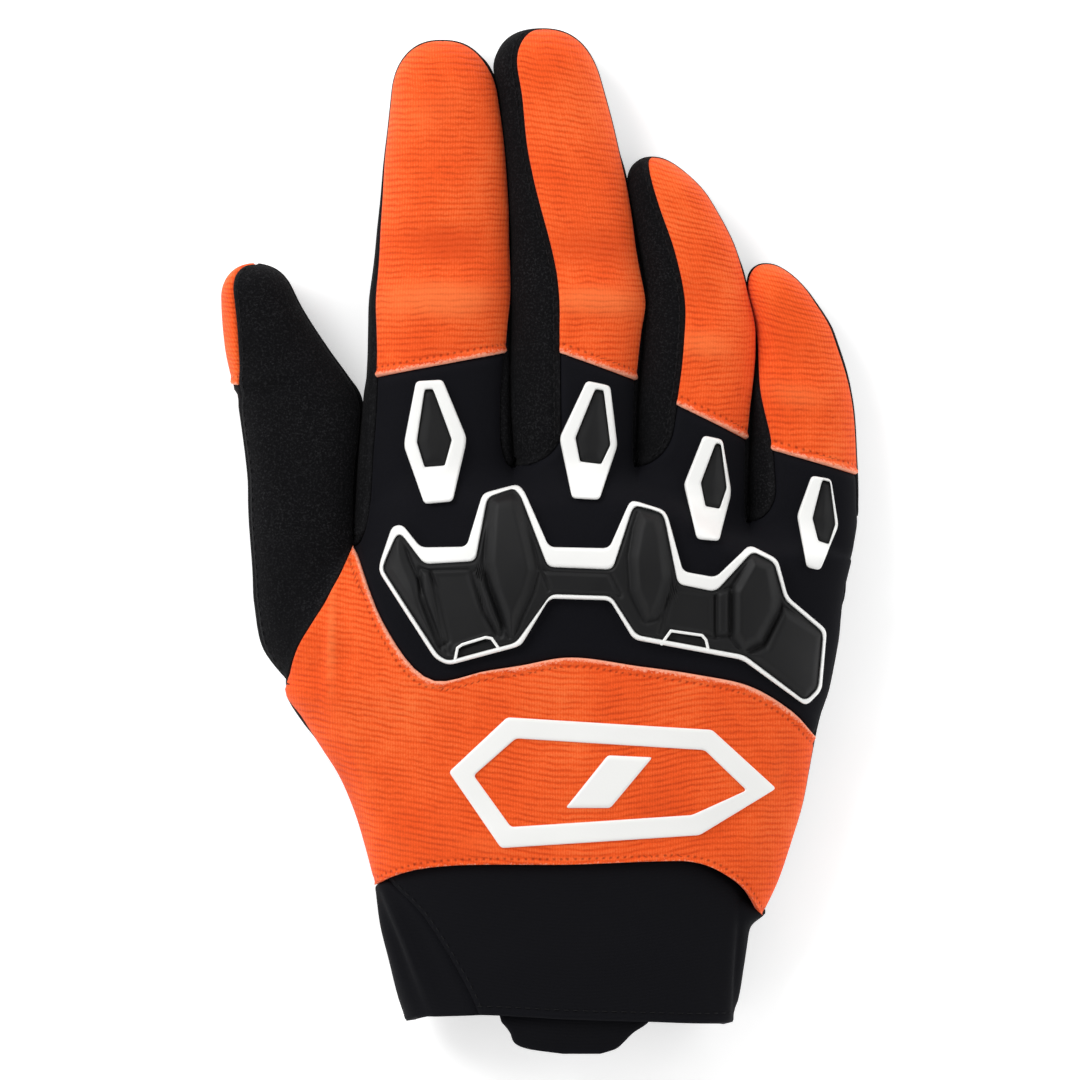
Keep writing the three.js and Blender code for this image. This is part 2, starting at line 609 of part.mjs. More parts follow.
// Cuff: back and front in plan rows, the gusset as a band on the thumb side
const CUFF_ROWS = 4;
const cuffLevel = (y) => (CUFF_THICKNESS * follow(CUFF, 'top', -y / CUFF_LENGTH) + HAND_SINK) / 2
  - HAND_SINK;
function cuffSide(row, side) {
  const end = side < 0 ? 0 : 4;
  const wrist = side < 0 ? handLeft(0, 'top') : handRight(0, 'top');
  const y = mix(wrist.y - CUFF_GAP, corner(HEM, 'y', end) * CUFF_LENGTH, row / CUFF_ROWS);
  const x = sideX(cuffBody, y, 0, side * 2 * FINGER_PITCH, cuffLevel(y));
  return vec(x, y, cuffLevel(y));
}
function cuffPoint(row, s, face) {
  const t = row / CUFF_ROWS;
  const left = cuffSide(row, -1);
  const right = cuffSide(row, 1);
  if (s === 4) return right;
  if (s === 0) return left;
  const x = mix(left.x, right.x, s / 4) + (1 - t) * swing(WRIST_SEAM, s, 'x', FINGER_PITCH);
  const y = mix(left.y, right.y, s / 4) + (1 - t) * swing(WRIST_SEAM, s, 'y', HAND_LENGTH)
    + t * swing(HEM, s, 'y', CUFF_LENGTH);
  return lift(cuffBody, x, y, face);
}
const gussetAt = (row) => follow(GUSSET, 'along', row / CUFF_ROWS);
const CUFF_COLUMNS = 10;
const cuffBack = {
  rows: CUFF_ROWS, cols: CUFF_COLUMNS, field: cuffBody,
  at: (i, j) => cuffPoint(i, mix(gussetAt(i), 4, j === CUFF_COLUMNS ? 1
    : Math.sin(Math.PI / 2 * j / CUFF_COLUMNS)), 'top'),
};
const cuffFront = {
  rows: CUFF_ROWS, cols: CUFF_COLUMNS, field: cuffBody,
  at: (i, j) => cuffPoint(i, 4 * cosine(j, CUFF_COLUMNS), 'palm'),
};
const cuffGusset = {
  rows: CUFF_ROWS, cols: BAND_ACROSS, field: cuffBody,
  at: (i, j) => {
    const back = cuffPoint(i, gussetAt(i), 'top');
    if (i > 0 || j === 0 || j === BAND_ACROSS) {
      return bandPoint(cuffBody, back, cuffSide(i, -1), j, new THREE.Vector3(-1, 0, 0.6));
    }
    return cuffPoint(0, gussetAt(0) * (1 - j / BAND_ACROSS) ** 2, 'top');
  },
};
// The tab lies under the hem of the cuff's back and droops past it
const tabPanel = {
  rows: 7, cols: 6, field: null,
  at: (i, j) => {
    const t = i / 7;
    const left = FINGER_PITCH * follow(TAB, 'left', t);
    const right = FINGER_PITCH * follow(TAB, 'right', t);
    const x = mix(left, right, j / 6);
    const y = -CUFF_LENGTH * TAB_START - TAB_LENGTH * t;
    const under = onTop(cuffBody, x, Math.max(y, -CUFF_LENGTH * 1.08)) - NEOPRENE_WALL - SEAM_GAP;
    return vec(x, y, under - TAB_DROOP * ease((t - 0.35) / 0.65));
  },
};

// Grids into closed panels with a wall
const round = (v) => Math.round(v * 1e4) / 1e4;
function addGrid(sheet, patch, offset) {
  const ids = [];
  for (let i = 0; i <= patch.rows; i += 1) {
    ids.push([]);
    for (let j = 0; j <= patch.cols; j += 1) {
      const p = patch.at(i, j);
      const key = `${round(p.x)} ${round(p.y)} ${round(p.z)}`;
      if (!sheet.seen.has(key)) {
        sheet.seen.set(key, sheet.points.length);
        sheet.points.push(p.clone());
        sheet.normals.push(new THREE.Vector3());
      }
      const id = sheet.seen.get(key);
      const shared = patch.share && patch.share(i, j);
      (shared || (patch.field ? [patch.field] : [])).forEach((field) => {
        sheet.normals[id].add(normalOf(field, p).normalize());
      });
      if (!patch.field) sheet.normals[id].add(new THREE.Vector3(0, 0, 1));
      ids[i].push(id);
    }
  }
  const added = [];
  let facing = 0;
  for (let i = 0; i < patch.rows; i += 1) {
    for (let j = 0; j < patch.cols; j += 1) {
      const [a, b, c, d] = [ids[i][j], ids[i][j + 1], ids[i + 1][j + 1], ids[i + 1][j]];
      const ac = sheet.points[a].distanceTo(sheet.points[c]);
      const bd = sheet.points[b].distanceTo(sheet.points[d]);
      const pair = ac <= bd ? [[a, b, c], [a, c, d]] : [[a, b, d], [b, c, d]];
      pair.filter((tri) => new Set(tri).size === 3).forEach((tri) => {
        const [p, q, r] = tri.map((id) => sheet.points[id]);
        const face = q.clone().sub(p).cross(r.clone().sub(p));
        facing += face.dot(sheet.normals[tri[0]]);
        added.push(tri);
      });
    }
  }
  sheet.tris.push(...added.map((t) => (facing > 0 ? t : [t[0], t[2], t[1]])));
}
function edgeLoops(tris) {
  const next = new Map();
  const used = new Set();
  tris.forEach((t) => t.forEach((a, i) => used.add(`${a} ${t[(i + 1) % 3]}`)));
  used.forEach((key) => {
    const [a, b] = key.split(' ').map(Number);
    if (!used.has(`${b} ${a}`)) next.set(a, [...(next.get(a) || []), b]);
  });
  return next;
}
function closedPanel(patches, wall) {
  const sheet = { points: [], normals: [], tris: [], seen: new Map() };
  patches.forEach((patch) => addGrid(sheet, patch));
  const next = edgeLoops(sheet.tris);
  const shift = sheet.points.map(() => new THREE.Vector3());
  const before = new Map();
  next.forEach((list, a) => list.forEach((b) => before.set(b, a)));
  const across = (a, b, id) => sheet.normals[id].clone()
    .cross(sheet.points[b].clone().sub(sheet.points[a])).normalize();
  next.forEach(([b], a) => {
    const n1 = across(before.get(a), a, a);
    const n2 = across(a, b, a);
    const by = Math.max(1 + n1.dot(n2), 0.12);
    shift[a] = n1.add(n2).multiplyScalar(SEAM_GAP / 2 / by);
  });
  const outer = sheet.points.map((p, i) => p.clone().add(shift[i]));
  const inner = outer.map((p, i) => p.clone().addScaledVector(sheet.normals[i].normalize(),
    next.has(i) ? -Math.min(wall, EDGE_WALL) : -wall));
  const n = outer.length;
  const tris = [];
  sheet.tris.forEach(([a, b, c]) => tris.push([a, b, c], [a + n, c + n, b + n]));
  const before2 = (a, b) => {
    const [p, q] = [sheet.points[a], sheet.points[b]];
    return p.x + 0.7 * p.y + 0.3 * p.z < q.x + 0.7 * q.y + 0.3 * q.z;
  };
  next.forEach(([b], a) => {
    if (before2(a, b)) tris.push([b, a, a + n], [b, a + n, b + n]);
    else tris.push([b, a, b + n], [a, a + n, b + n]);
  });
  outer.forEach((p) => {
    if (Math.abs(p.z) < 0.02) p.z = 0;
  });
  return { points: outer.concat(inner), tris, outer: sheet.tris, top: outer };
}

// Raised parts: a slice of a layer that follows a panel, cut by a prism
const SOLID = wasm.Manifold;
function solidOf(points, tris) {
  const mesh = new wasm.Mesh({
    numProp: 3,
    vertProperties: Float32Array.from(points.flatMap((p) => [p.x, p.y, p.z])),
    triVerts: Uint32Array.from(tris.flat()),
  });
  return new SOLID(mesh);
}
function prism(outline) {
  const flat = outline.map(([x, y]) => new THREE.Vector2(x, y));
  if (THREE.ShapeUtils.isClockWise(flat)) flat.reverse();
  const faces = THREE.ShapeUtils.triangulateShape(flat, []);
  const n = flat.length;
  const points = [...flat.map((p) => vec(p.x, p.y, -20)), ...flat.map((p) => vec(p.x, p.y, 80))];
  const turns = ([a, b, c]) => THREE.ShapeUtils.area([flat[a], flat[b], flat[c]]) > 0;
  const tris = faces.map((f) => (turns(f) ? f : [f[0], f[2], f[1]]))
    .flatMap(([a, b, c]) => [[a, c, b], [a + n, b + n, c + n]]);
  flat.forEach((p, a) => {
    const b = (a + 1) % n;
    tris.push([a, b, b + n], [a, b + n, a + n]);
  });
  return solidOf(points, tris);
}
function groundOf(panel) {
  return (x, y) => {
    let best = -Infinity;
    panel.outer.forEach(([a, b, c]) => {
      const [p, q, r] = [panel.top[a], panel.top[b], panel.top[c]];
      const area = (q.x - p.x) * (r.y - p.y) - (r.x - p.x) * (q.y - p.y);
      if (Math.abs(area) < 1e-9) return;
      const v = ((x - p.x) * (r.y - p.y) - (r.x - p.x) * (y - p.y)) / area;
      const w = ((q.x - p.x) * (y - p.y) - (x - p.x) * (q.y - p.y)) / area;
      if (v < -0.02 || w < -0.02 || v + w > 1.02) return;
      best = Math.max(best, p.z + v * (q.z - p.z) + w * (r.z - p.z));
    });
    return Math.max(best, onTop(wholeHand, x, y));
  };
}
function layer(ground, outline, low, high, pitch) {
  const xs = outline.map((p) => p[0]);
  const ys = outline.map((p) => p[1]);
  const x0 = Math.min(...xs) - 0.5;
  const y0 = Math.min(...ys) - 0.5;
  const nx = Math.ceil((Math.max(...xs) + 0.5 - x0) / pitch);
  const ny = Math.ceil((Math.max(...ys) + 0.5 - y0) / pitch);
  const dx = (Math.max(...xs) + 0.5 - x0) / nx;
  const dy = (Math.max(...ys) + 0.5 - y0) / ny;
  const points = [];
  [low, high].forEach((h) => {
    for (let i = 0; i <= nx; i += 1) {
      for (let j = 0; j <= ny; j += 1) {
        const x = x0 + i * dx;
        const y = y0 + j * dy;
        points.push(vec(x, y, ground(x, y) + h));
      }
    }
  });
  const id = (i, j, up) => up * (nx + 1) * (ny + 1) + i * (ny + 1) + j;
  const tris = [];
  for (let i = 0; i < nx; i += 1) {
    for (let j = 0; j < ny; j += 1) {
      const q = (up) => [id(i, j, up), id(i + 1, j, up), id(i + 1, j + 1, up), id(i, j + 1, up)];
      const [a, b, c, d] = q(1);
      const [e, f, g, h] = q(0);
      tris.push([a, b, c], [a, c, d], [e, g, f], [e, h, g]);
      if (i === 0) tris.push([e, a, d], [e, d, h]);
      if (i === nx - 1) tris.push([f, g, c], [f, c, b]);
      if (j === 0) tris.push([e, f, b], [e, b, a]);
      if (j === ny - 1) tris.push([h, d, c], [h, c, g]);
    }
  }
  return solidOf(points, tris);
}

// Outlines of the raised parts: x in finger pitches, y a share of HAND_LENGTH
const spot = ([x, y]) => [x * FINGER_PITCH, y * HAND_LENGTH];
const GUARD = [[-1.490, 0.755], [-1.020, 0.524], [-0.867, 0.524], [-0.364, 0.571],
  [-0.138, 0.679], [0.373, 0.679], [0.559, 0.588], [1.425, 0.543], [1.944, 0.421],
  [2.089, 0.452], [2.138, 0.602], [1.806, 0.683], [1.725, 0.779], [1.506, 0.812],
  [1.247, 0.733], [0.956, 0.748], [0.826, 0.888], [0.567, 0.914], [0.381, 0.800],
  [-0.113, 0.802], [-0.308, 0.950], [-0.632, 0.940], [-0.777, 0.805], [-1.158, 0.805],
  [-1.336, 0.862]].map(spot);
const LOBES = [
  [[-1.44, 0.742], [-1.33, 0.82], [-1.24, 0.745], [-1.08, 0.62], [-1.1, 0.585]],
  [[-0.58, 0.9], [-0.42, 0.92], [-0.36, 0.9], [-0.2, 0.745], [-0.42, 0.595], [-0.66, 0.745]],
  [[0.57, 0.875], [0.78, 0.86], [0.9, 0.72], [0.72, 0.62], [0.62, 0.625], [0.46, 0.74]],
  [[1.36, 0.73], [1.5, 0.775], [1.66, 0.75], [1.74, 0.68], [1.6, 0.585], [1.36, 0.59]],
].map((outline) => outline.map(spot));
const FILLS = [
  [[-1.190, 0.821], [-0.745, 0.821], [-0.696, 0.774], [-0.761, 0.762], [-1.085, 0.760]],
  [[-0.178, 0.821], [0.437, 0.821], [0.373, 0.748], [-0.089, 0.752]],
  [[0.907, 0.762], [1.296, 0.75], [1.215, 0.698], [0.948, 0.712]],
].map((outline) => outline.map(spot));
// Pads beside the finger roots: outer outline, then the opening for the insert
const PADS = {
  index: [[[-1.174, 1.195], [-0.972, 1.198], [-0.777, 1.067], [-0.777, 1.045], [-0.907, 0.91],
    [-1.101, 0.907], [-1.28, 1.05], [-1.182, 1.19]],
  [[-1.118, 1.176], [-1.045, 1.176], [-0.899, 1.06], [-0.948, 0.995], [-1.118, 0.993],
    [-1.174, 1.05]]],
  middle: [[[0.194, 1.195], [0.373, 1.183], [0.445, 1.052], [0.292, 0.917], [0.089, 0.919],
    [-0.016, 1.06]],
  [[0.267, 1.176], [0.332, 1.174], [0.381, 1.05], [0.316, 1.0], [0.138, 1.005], [0.105, 1.067]]],
  ring: [[[1.142, 1.067], [1.296, 1.052], [1.361, 0.936], [1.247, 0.814], [1.085, 0.819],
    [0.98, 0.95]],
  [[1.239, 1.05], [1.288, 1.045], [1.32, 0.94], [1.263, 0.893], [1.15, 0.902], [1.118, 0.952]]],
  little: [[[2.017, 0.974], [2.187, 0.955], [2.227, 0.86], [2.073, 0.745], [1.96, 0.762],
    [1.895, 0.874]],
  [[2.089, 0.964], [2.162, 0.948], [2.203, 0.855], [2.154, 0.81], [2.065, 0.819],
    [2.017, 0.879]]],
};
// Raised print on the back of the hand: an open blade with a solid slash inside
const PRINT = {
  outer: [[-0.92, 0.27], [-0.45, 0.4], [1.2, 0.37], [1.72, 0.23], [1.1, 0.12], [-0.5, 0.09]],
  inner: [[-0.72, 0.262], [-0.38, 0.35], [1.14, 0.322], [1.48, 0.226], [1.04, 0.168],
    [-0.42, 0.14]],
  slash: [[0.02, 0.185], [0.36, 0.31], [0.72, 0.305], [0.38, 0.185]],
};
// An outline moved in or out by an even distance
function offset(outline, by) {
  const area = THREE.ShapeUtils.area(outline.map(([x, y]) => new THREE.Vector2(x, y)));
  const sign = area > 0 ? 1 : -1;
  return outline.map(([x, y], i) => {
    const [ax, ay] = outline[(i + outline.length - 1) % outline.length];
    const [bx, by2] = outline[(i + 1) % outline.length];
    const e1 = new THREE.Vector2(x - ax, y - ay).normalize();
    const e2 = new THREE.Vector2(bx - x, by2 - y).normalize();
    const n1 = new THREE.Vector2(e1.y, -e1.x);
    const n2 = new THREE.Vector2(e2.y, -e2.x);
    const k = sign * by / Math.max(1 + n1.dot(n2), 0.5);
    return [x + (n1.x + n2.x) * k, y + (n1.y + n2.y) * k];
  });
}

// The corners of an outline cut off, as a moulding rounds them
function soften(outline, by) {
  return outline.flatMap((p, i) => [-1, 1].map((way) => {
    const q = outline[(i + way + outline.length) % outline.length];
    const t = Math.min(by / Math.hypot(q[0] - p[0], q[1] - p[1]), 0.3);
    return [mix(p[0], q[0], t), mix(p[1], q[1], t)];
  }));
}

const group = new THREE.Group();
function finish(name, points, tris, look) {
  const geometry = new THREE.BufferGeometry();
  geometry.setAttribute('position', new THREE.Float32BufferAttribute(
    points.flatMap((p) => [p.x, p.y, p.z]), 3));
  geometry.setIndex(tris.flat());
  geometry.computeVertexNormals();
  const [color, roughness] = look;
  const mesh = new THREE.Mesh(geometry, new THREE.MeshStandardMaterial({
    color, roughness, metalness: 0, flatShading: true,
  }));
  mesh.name = name;
  group.add(mesh);
}
function addPanel(name, patches, wall, look) {
  const panel = closedPanel(patches, wall);
  finish(name, panel.points, panel.tris, look);
  return panel;
}
function addSolid(name, solid, look) {
  const mesh = solid.decompose().sort((a, b) => b.volume() - a.volume())[0].getMesh();
  const points = [];
  for (let i = 0; i < mesh.numVert; i += 1) {
    points.push(vec(...mesh.vertProperties.slice(i * mesh.numProp, i * mesh.numProp + 3)));
  }
  const tris = [];
  for (let i = 0; i < mesh.numTri; i += 1) tris.push([...mesh.triVerts.slice(3 * i, 3 * i + 3)]);
  finish(name, points, tris, look);
}

const KNIT = ['#ff5a22', 0.85];
const BLACK_KNIT = ['#15161c', 0.75];
const SUEDE = ['#1a1a1c', 0.95];
const NEOPRENE = ['#1c1d22', 0.8];
const RUBBER = ['#2a2a2b', 0.6];
const WHITE = ['#f2f2f0', 0.5];

// Back of the hand and the knuckle panel with its four finger columns
const handBack = addPanel('hand_back', [handPanel('top', 0, HAND_ROWS)], KNIT_WALL, KNIT);
const allRows = HAND_ROWS + KNUCKLE_ROWS;
const knuckles = addPanel('knuckle_panel', [handPanel('top', HAND_ROWS, allRows),
  ...FINGERS.map((f, k) => fingerPanel(k, 'top', 0, ROOT_ROWS))], KNUCKLE_WALL, BLACK_KNIT);
addPanel('palm', [handPanel('palm', 0, allRows),
  ...FINGERS.map((f, k) => fingerPanel(k, 'palm', 0, fingerRows + TIP_ROWS))], SUEDE_WALL, SUEDE);
FINGERS.forEach((f, k) => {
  addPanel(`finger_back_${f.name}`,
    [fingerPanel(k, 'top', ROOT_ROWS, fingerRows + TIP_ROWS)], KNIT_WALL, KNIT);
  addPanel(`sidewall_${f.name}`,
    [fingerBand(k, -1, k === 0 ? -KNUCKLE_ROWS : 0), fingerBand(k, 1, 0)], SUEDE_WALL, SUEDE);
});

// Thumb
const thumbEnd = thumbBody0 + TIP_ROWS;
addPanel('thumb_top', [thumbPanel('top')], SUEDE_WALL, SUEDE);
addPanel('thumb_front', [thumbPanel('palm')], SUEDE_WALL, SUEDE);
addPanel('thumb_side', [thumbBand(-1, 0, thumbSeamRow)], SUEDE_WALL, SUEDE);
addPanel('thumb_back', [thumbBand(-1, thumbSeamRow, thumbEnd)], KNIT_WALL, KNIT);
addPanel('thumb_inner', [thumbBand(1, HAND_ROWS - SIDE_ROWS, thumbEnd)], SUEDE_WALL, SUEDE);

// Cuff and pull tab
addPanel('cuff_back', [cuffBack], NEOPRENE_WALL, NEOPRENE);
addPanel('cuff_front', [cuffFront], NEOPRENE_WALL, NEOPRENE);
addPanel('cuff_gusset', [cuffGusset], NEOPRENE_WALL, NEOPRENE);
addPanel('pull_tab', [tabPanel], TAB_WALL, NEOPRENE);

// Guard, its white outline, the pads and the print
const knuckleGround = groundOf(knuckles);
const handGround = groundOf(handBack);
const clear = (panel, gap) => {
  const solid = solidOf(panel.points, panel.tris);
  return solid.add(solid.translate(0, 0, gap / 2)).add(solid.translate(0, 0, gap));
};
const knuckleRoom = clear(knuckles, SEAT_GAP);
const handRoom = clear(handBack, PRINT_SEAT);
const inGuard = offset(GUARD, -TRIM_WIDTH - SEAM_GAP / 2);
const round1 = (outline) => prism(soften(outline, CORNER));
const ring = round1(GUARD).subtract(round1(offset(GUARD, -TRIM_WIDTH)));
const fills = FILLS.map(prism).reduce((a, b) => a.add(b));
const trimLayer = layer(knuckleGround, GUARD, -SINK_IN, SEAT_GAP + TRIM_HEIGHT, 6);
const fillRoom = FILLS.map((f) => prism(offset(f, SEAM_GAP))).reduce((a, b) => a.add(b));
const base = layer(knuckleGround, GUARD, -SINK_IN, SEAT_GAP + GUARD_HEIGHT, 7);
const raised = layer(knuckleGround, GUARD, -SINK_IN, SEAT_GAP + GUARD_HEIGHT + LOBE_HEIGHT, 7);
const lobes = LOBES.map(prism).reduce((a, b) => a.add(b));
const inside = round1(inGuard).subtract(fillRoom);
addSolid('guard', base.add(raised.intersect(lobes)).intersect(inside).subtract(knuckleRoom),
  RUBBER);
const border = ring.add(fills.intersect(round1(GUARD)));
addSolid('guard_trim', trimLayer.intersect(border).subtract(knuckleRoom), WHITE);
Object.entries(PADS).forEach(([name, outlines]) => {
  const [outer, inner] = outlines.map((outline) => outline.map(spot));
  const top = layer(knuckleGround, outer, -SINK_IN, SEAT_GAP + PAD_HEIGHT, 6)
    .subtract(knuckleRoom);
  const low = layer(knuckleGround, outer, -SINK_IN, SEAT_GAP + INSERT_HEIGHT, 6)
    .subtract(knuckleRoom);
  addSolid(`pad_frame_${name}`, top.intersect(round1(outer).subtract(round1(inner))), WHITE);
  addSolid(`pad_insert_${name}`, low.intersect(round1(offset(inner, -SEAM_GAP))), RUBBER);
});
const [printOuter, printInner, slash] = [PRINT.outer, PRINT.inner, PRINT.slash]
  .map((outline) => outline.map(spot));
const film = layer(handGround, printOuter, -SINK_IN / 2, PRINT_SEAT + PRINT_HEIGHT, 8)
  .subtract(handRoom);
addSolid('print_frame', film.intersect(prism(printOuter).subtract(prism(printInner))), WHITE);
addSolid('print_slash', film.intersect(prism(slash)), WHITE);

// Origin in the middle of the footprint
const box = new THREE.Box3().setFromObject(group);
const centre = box.getCenter(new THREE.Vector3());
group.children.forEach((mesh) => {
  mesh.geometry.translate(-centre.x, -centre.y, -box.min.z);
});

export default group;
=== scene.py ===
"""Dresses the solids of a right-hand off-road glove with knit, suede, rubber and stitching."""

import math
from types import SimpleNamespace

import bpy
import numpy as np
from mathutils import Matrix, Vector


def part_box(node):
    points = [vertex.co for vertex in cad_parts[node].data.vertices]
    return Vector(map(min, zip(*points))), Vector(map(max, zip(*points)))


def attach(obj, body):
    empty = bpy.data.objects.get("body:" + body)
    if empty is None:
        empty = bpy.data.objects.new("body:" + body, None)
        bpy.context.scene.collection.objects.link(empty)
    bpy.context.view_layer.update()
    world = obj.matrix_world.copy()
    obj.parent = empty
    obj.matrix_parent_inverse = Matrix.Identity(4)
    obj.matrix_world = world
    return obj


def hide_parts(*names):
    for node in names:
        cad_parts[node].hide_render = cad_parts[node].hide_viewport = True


bl_info = {
    "name": "Off-road glove finish",
    "version": (1, 0, 0),
    "blender": (4, 5, 0),
    "location": "View3D > Sidebar > Glove",
    "description": "Knit, suede, neoprene, rubber and stitching over the glove's solids",
    "category": "Object",
}

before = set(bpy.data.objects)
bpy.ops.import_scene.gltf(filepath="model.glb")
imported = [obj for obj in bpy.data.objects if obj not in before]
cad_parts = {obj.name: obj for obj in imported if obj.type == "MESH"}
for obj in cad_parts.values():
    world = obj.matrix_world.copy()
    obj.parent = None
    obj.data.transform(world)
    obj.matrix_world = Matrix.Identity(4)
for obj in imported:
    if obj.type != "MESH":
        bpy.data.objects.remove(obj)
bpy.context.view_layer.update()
BODY = "root"

# Sizes of the glove, millimetres, as in the solids
PITCH = 28.4
HAND_LENGTH = 96.6
REACH = 100.5
THUMB_LENGTH = 98.0
THUMB_WIDTH = 27.2
CUFF_LENGTH = 30.6
HAND_THICK = 30.0
FINGER_THICK = 22.0
THUMB_THICK = 21.0
CUFF_THICK = 25.5
FINGER_GAP = 0.1
ROUND = 2.3
FLOOR_BLEND = 2.0
FINGER_BLEND = 7.0
THUMB_BLEND = 10.0
HAND_SINK = 3.0
FINGER_SINK = 2.2
HAND_LEAN = 0.387
WEB_DROP = 12.1
WEB_FILL = 3.5
WEB_RISE = 2.5
TIP_THIN = 0.8
HAND_ROWS, SIDE_ROWS, KNUCKLE_ROWS, ROOT_ROWS, FINGER_ROWS, TIP_ROWS = 7, 3, 4, 3, 3, 4
ROOT_CROWD = 1.4
PALM_INSET = 0.12
TIP_INSET = 0.03
THUMB_START, THUMB_WEB, THUMB_RISE, THUMB_SEAM, THUMB_ROUND = 0.464, 0.87, 6.0, 0.715, 0.305
RIGHT_END = 0.355
CUFF_GAP = 0.25
TAB_LENGTH, TAB_START, TAB_DROOP = 13.0, 0.84, 2.5
FINGER_END = ROOT_ROWS + FINGER_ROWS


def columns(names, *rows):
    """A table with named columns, each one an array."""
    return dict(zip(names.split(), np.array(rows, float).T))


HAND = columns(
    "at left right top",
    [-0.15, 0.70, 0.77, 0.88], [0, 0.769, 0.865, 0.90], [0.155, 0.875, 0.924, 0.92],
    [0.274, 0.986, 0.942, 0.94], [0.4, 1.14, 0.962, 0.96], [0.464, 1.213, 0.985, 0.98],
    [0.58, 1.15, 1.002, 1.0], [0.68, 1.06, 1.003, 1.02], [0.79, 0.985, 1.022, 1.02],
    [0.9, 0.995, 1.02, 0.95], [1.0, 1.005, 1.0, 0.84])
SLOTS = columns(
    "at s0 s1 s2 s3 s4",
    [-0.55, -1.757, -0.35, 0.60, 1.45, 2.28], [-0.3, -1.717, -0.373, 0.599, 1.482, 2.34],
    [-0.174, -1.693, -0.385, 0.597, 1.492, 2.38], [-0.12, -1.684, -0.389, 0.595, 1.498, 2.39],
    [0, -1.657, -0.397, 0.591, 1.503, 2.39], [0.15, -1.61, -0.429, 0.607, 1.531, 2.35],
    [0.3, -1.58, -0.425, 0.648, 1.567, 2.208], [0.38, -1.565, -0.421, 0.672, 1.510, 2.035],
    [0.5, -1.530, -0.425, 0.607, 1.395, 1.75], [0.6, -1.488, -0.437, 0.543, 1.205, 1.50],
    [0.7, -1.452, -0.462, 0.474, 0.965, 1.25], [0.84, -1.388, -0.518, 0.352, 0.70, 0.95],
    [0.93, -1.372, -0.575, 0.267, 0.53, 0.75], [1.0, -1.36, -0.590, 0.227, 0.40, 0.65])
FINGERS = [
    dict(name="index", root=0, tip=0.973, round=0.44, tall=1, seam=(0.199, 0.254)),
    dict(name="middle", root=-0.01, tip=1.0, round=0.42, tall=1, seam=(0.254, 0.192)),
    dict(name="ring", root=-0.06, tip=0.705, round=0.34, tall=0.94, seam=(0.135, 0.057)),
    dict(name="little", root=-0.12, tip=0.46, round=0.30, tall=0.86, seam=(0.032, -0.023))]
INSETS = columns(
    "at left0 right0 left1 right1 left2 right2 left3 right3",
    [0, 0.16, 0.14, 0.76, 0.03, 0.50, 0.03, 0.50, 0.02],
    [0.15, 0.15, 0.10, 0.78, 0.03, 0.60, 0.03, 0.46, 0.02],
    [0.3, 0.12, 0.04, 0.74, 0.03, 0.70, 0.02, 0.38, 0.02],
    [0.45, 0.08, 0.01, 0.68, 0.02, 0.73, 0.01, 0.20, 0.03],
    [0.7, 0.02, 0.01, 0.39, 0.01, 0.72, 0.01, 0.01, 0.06],
    [0.85, 0.01, 0.02, 0.42, 0.01, 0.66, 0.01, 0.01, 0.06],
    [1, 0.01, 0.03, 0.46, 0.01, 0.72, 0.01, 0.01, 0.02])
THUMB = columns(
    "at offset half edge",
    [-0.1, 0.02, 0.46, 0.04], [0, -0.02, 0.491, 0.04], [0.1, -0.20, 0.535, 0.05],
    [0.2, -0.315, 0.505, 0.05], [0.27, -0.37, 0.475, 0.05], [0.35, -0.425, 0.458, 0.05],
    [0.42, -0.455, 0.452, 0.05], [0.5, -0.473, 0.461, 0.05], [0.68, -0.552, 0.526, 0.06],
    [0.8, -0.765, 0.440, 0.26], [0.92, -0.940, 0.322, 0.34], [1, -0.99, 0.29, 0.22])
WRIST_SEAM = columns(
    "along x y",
    [0, -1.531, -0.002], [0.25, -1.377, 0.021], [0.5, -1.150, 0.040], [1, -0.769, 0.050],
    [2, 0, 0.051], [3, 0.761, 0.059], [3.25, 0.972, 0.057], [3.5, 1.166, 0.038],
    [3.75, 1.385, -0.007], [4, 1.531, -0.074])
KNUCKLE_SEAM = columns(
    "along x y",
    [0, -1.685, 0.819], [0.345, -1.433, 0.626], [0.655, -1.069, 0.498], [0.905, -0.6, 0.519],
    [1, -0.372, 0.529], [1.5, 0.065, 0.548], [2, 0.599, 0.526], [2.5, 1.053, 0.505],
    [3, 1.482, 0.476], [3.5, 1.814, 0.417], [4, 2.017, 0.355])
THUMB_SEAMS = {
    "top": columns("along x y", [0, -2.203, 0.464], [0.25, -2.122, 0.560], [0.5, -1.976, 0.640],
                   [0.75, -1.822, 0.724], [1, -1.685, 0.819]),
    "palm": columns("along x y", [0, -2.203, 0.464], [0.25, -1.96, 0.560], [0.5, -1.80, 0.640],
                    [0.75, -1.74, 0.724], [1, -1.685, 0.819])}
CUFF = columns(
    "at left right top",
    [-0.3, -1.56, 1.56, 1.02], [0, -1.54, 1.55, 1], [0.3, -1.485, 1.51, 0.99],
    [0.64, -1.39, 1.46, 0.985], [0.86, -1.33, 1.425, 0.99], [1, -1.285, 1.39, 1],
    [1.1, -1.27, 1.42, 1])
HEM = columns(
    "along x y",
    [0, -1.285, -1.03], [0.5, -1.05, -0.985], [1, -0.52, -0.97], [2, 0.1, -1.0],
    [3, 0.8, -1.02], [3.5, 1.15, -1.03], [4, 1.43, -1.03])
GUSSET = columns("at along", [0, 0.2], [0.3, 0.46], [0.64, 0.7], [0.86, 0.84], [1, 0.9])
TAB = columns(
    "at left right",
    [0, -0.54, 0.62], [0.42, -0.5, 0.69], [0.5, -0.47, 0.655], [0.62, -0.43, 0.57],
    [0.82, -0.385, 0.478], [0.92, -0.27, 0.42], [1, 0, 0.30])


def mix(a, b, t):
    """Straight blend from a to b."""
    return a + (b - a) * t


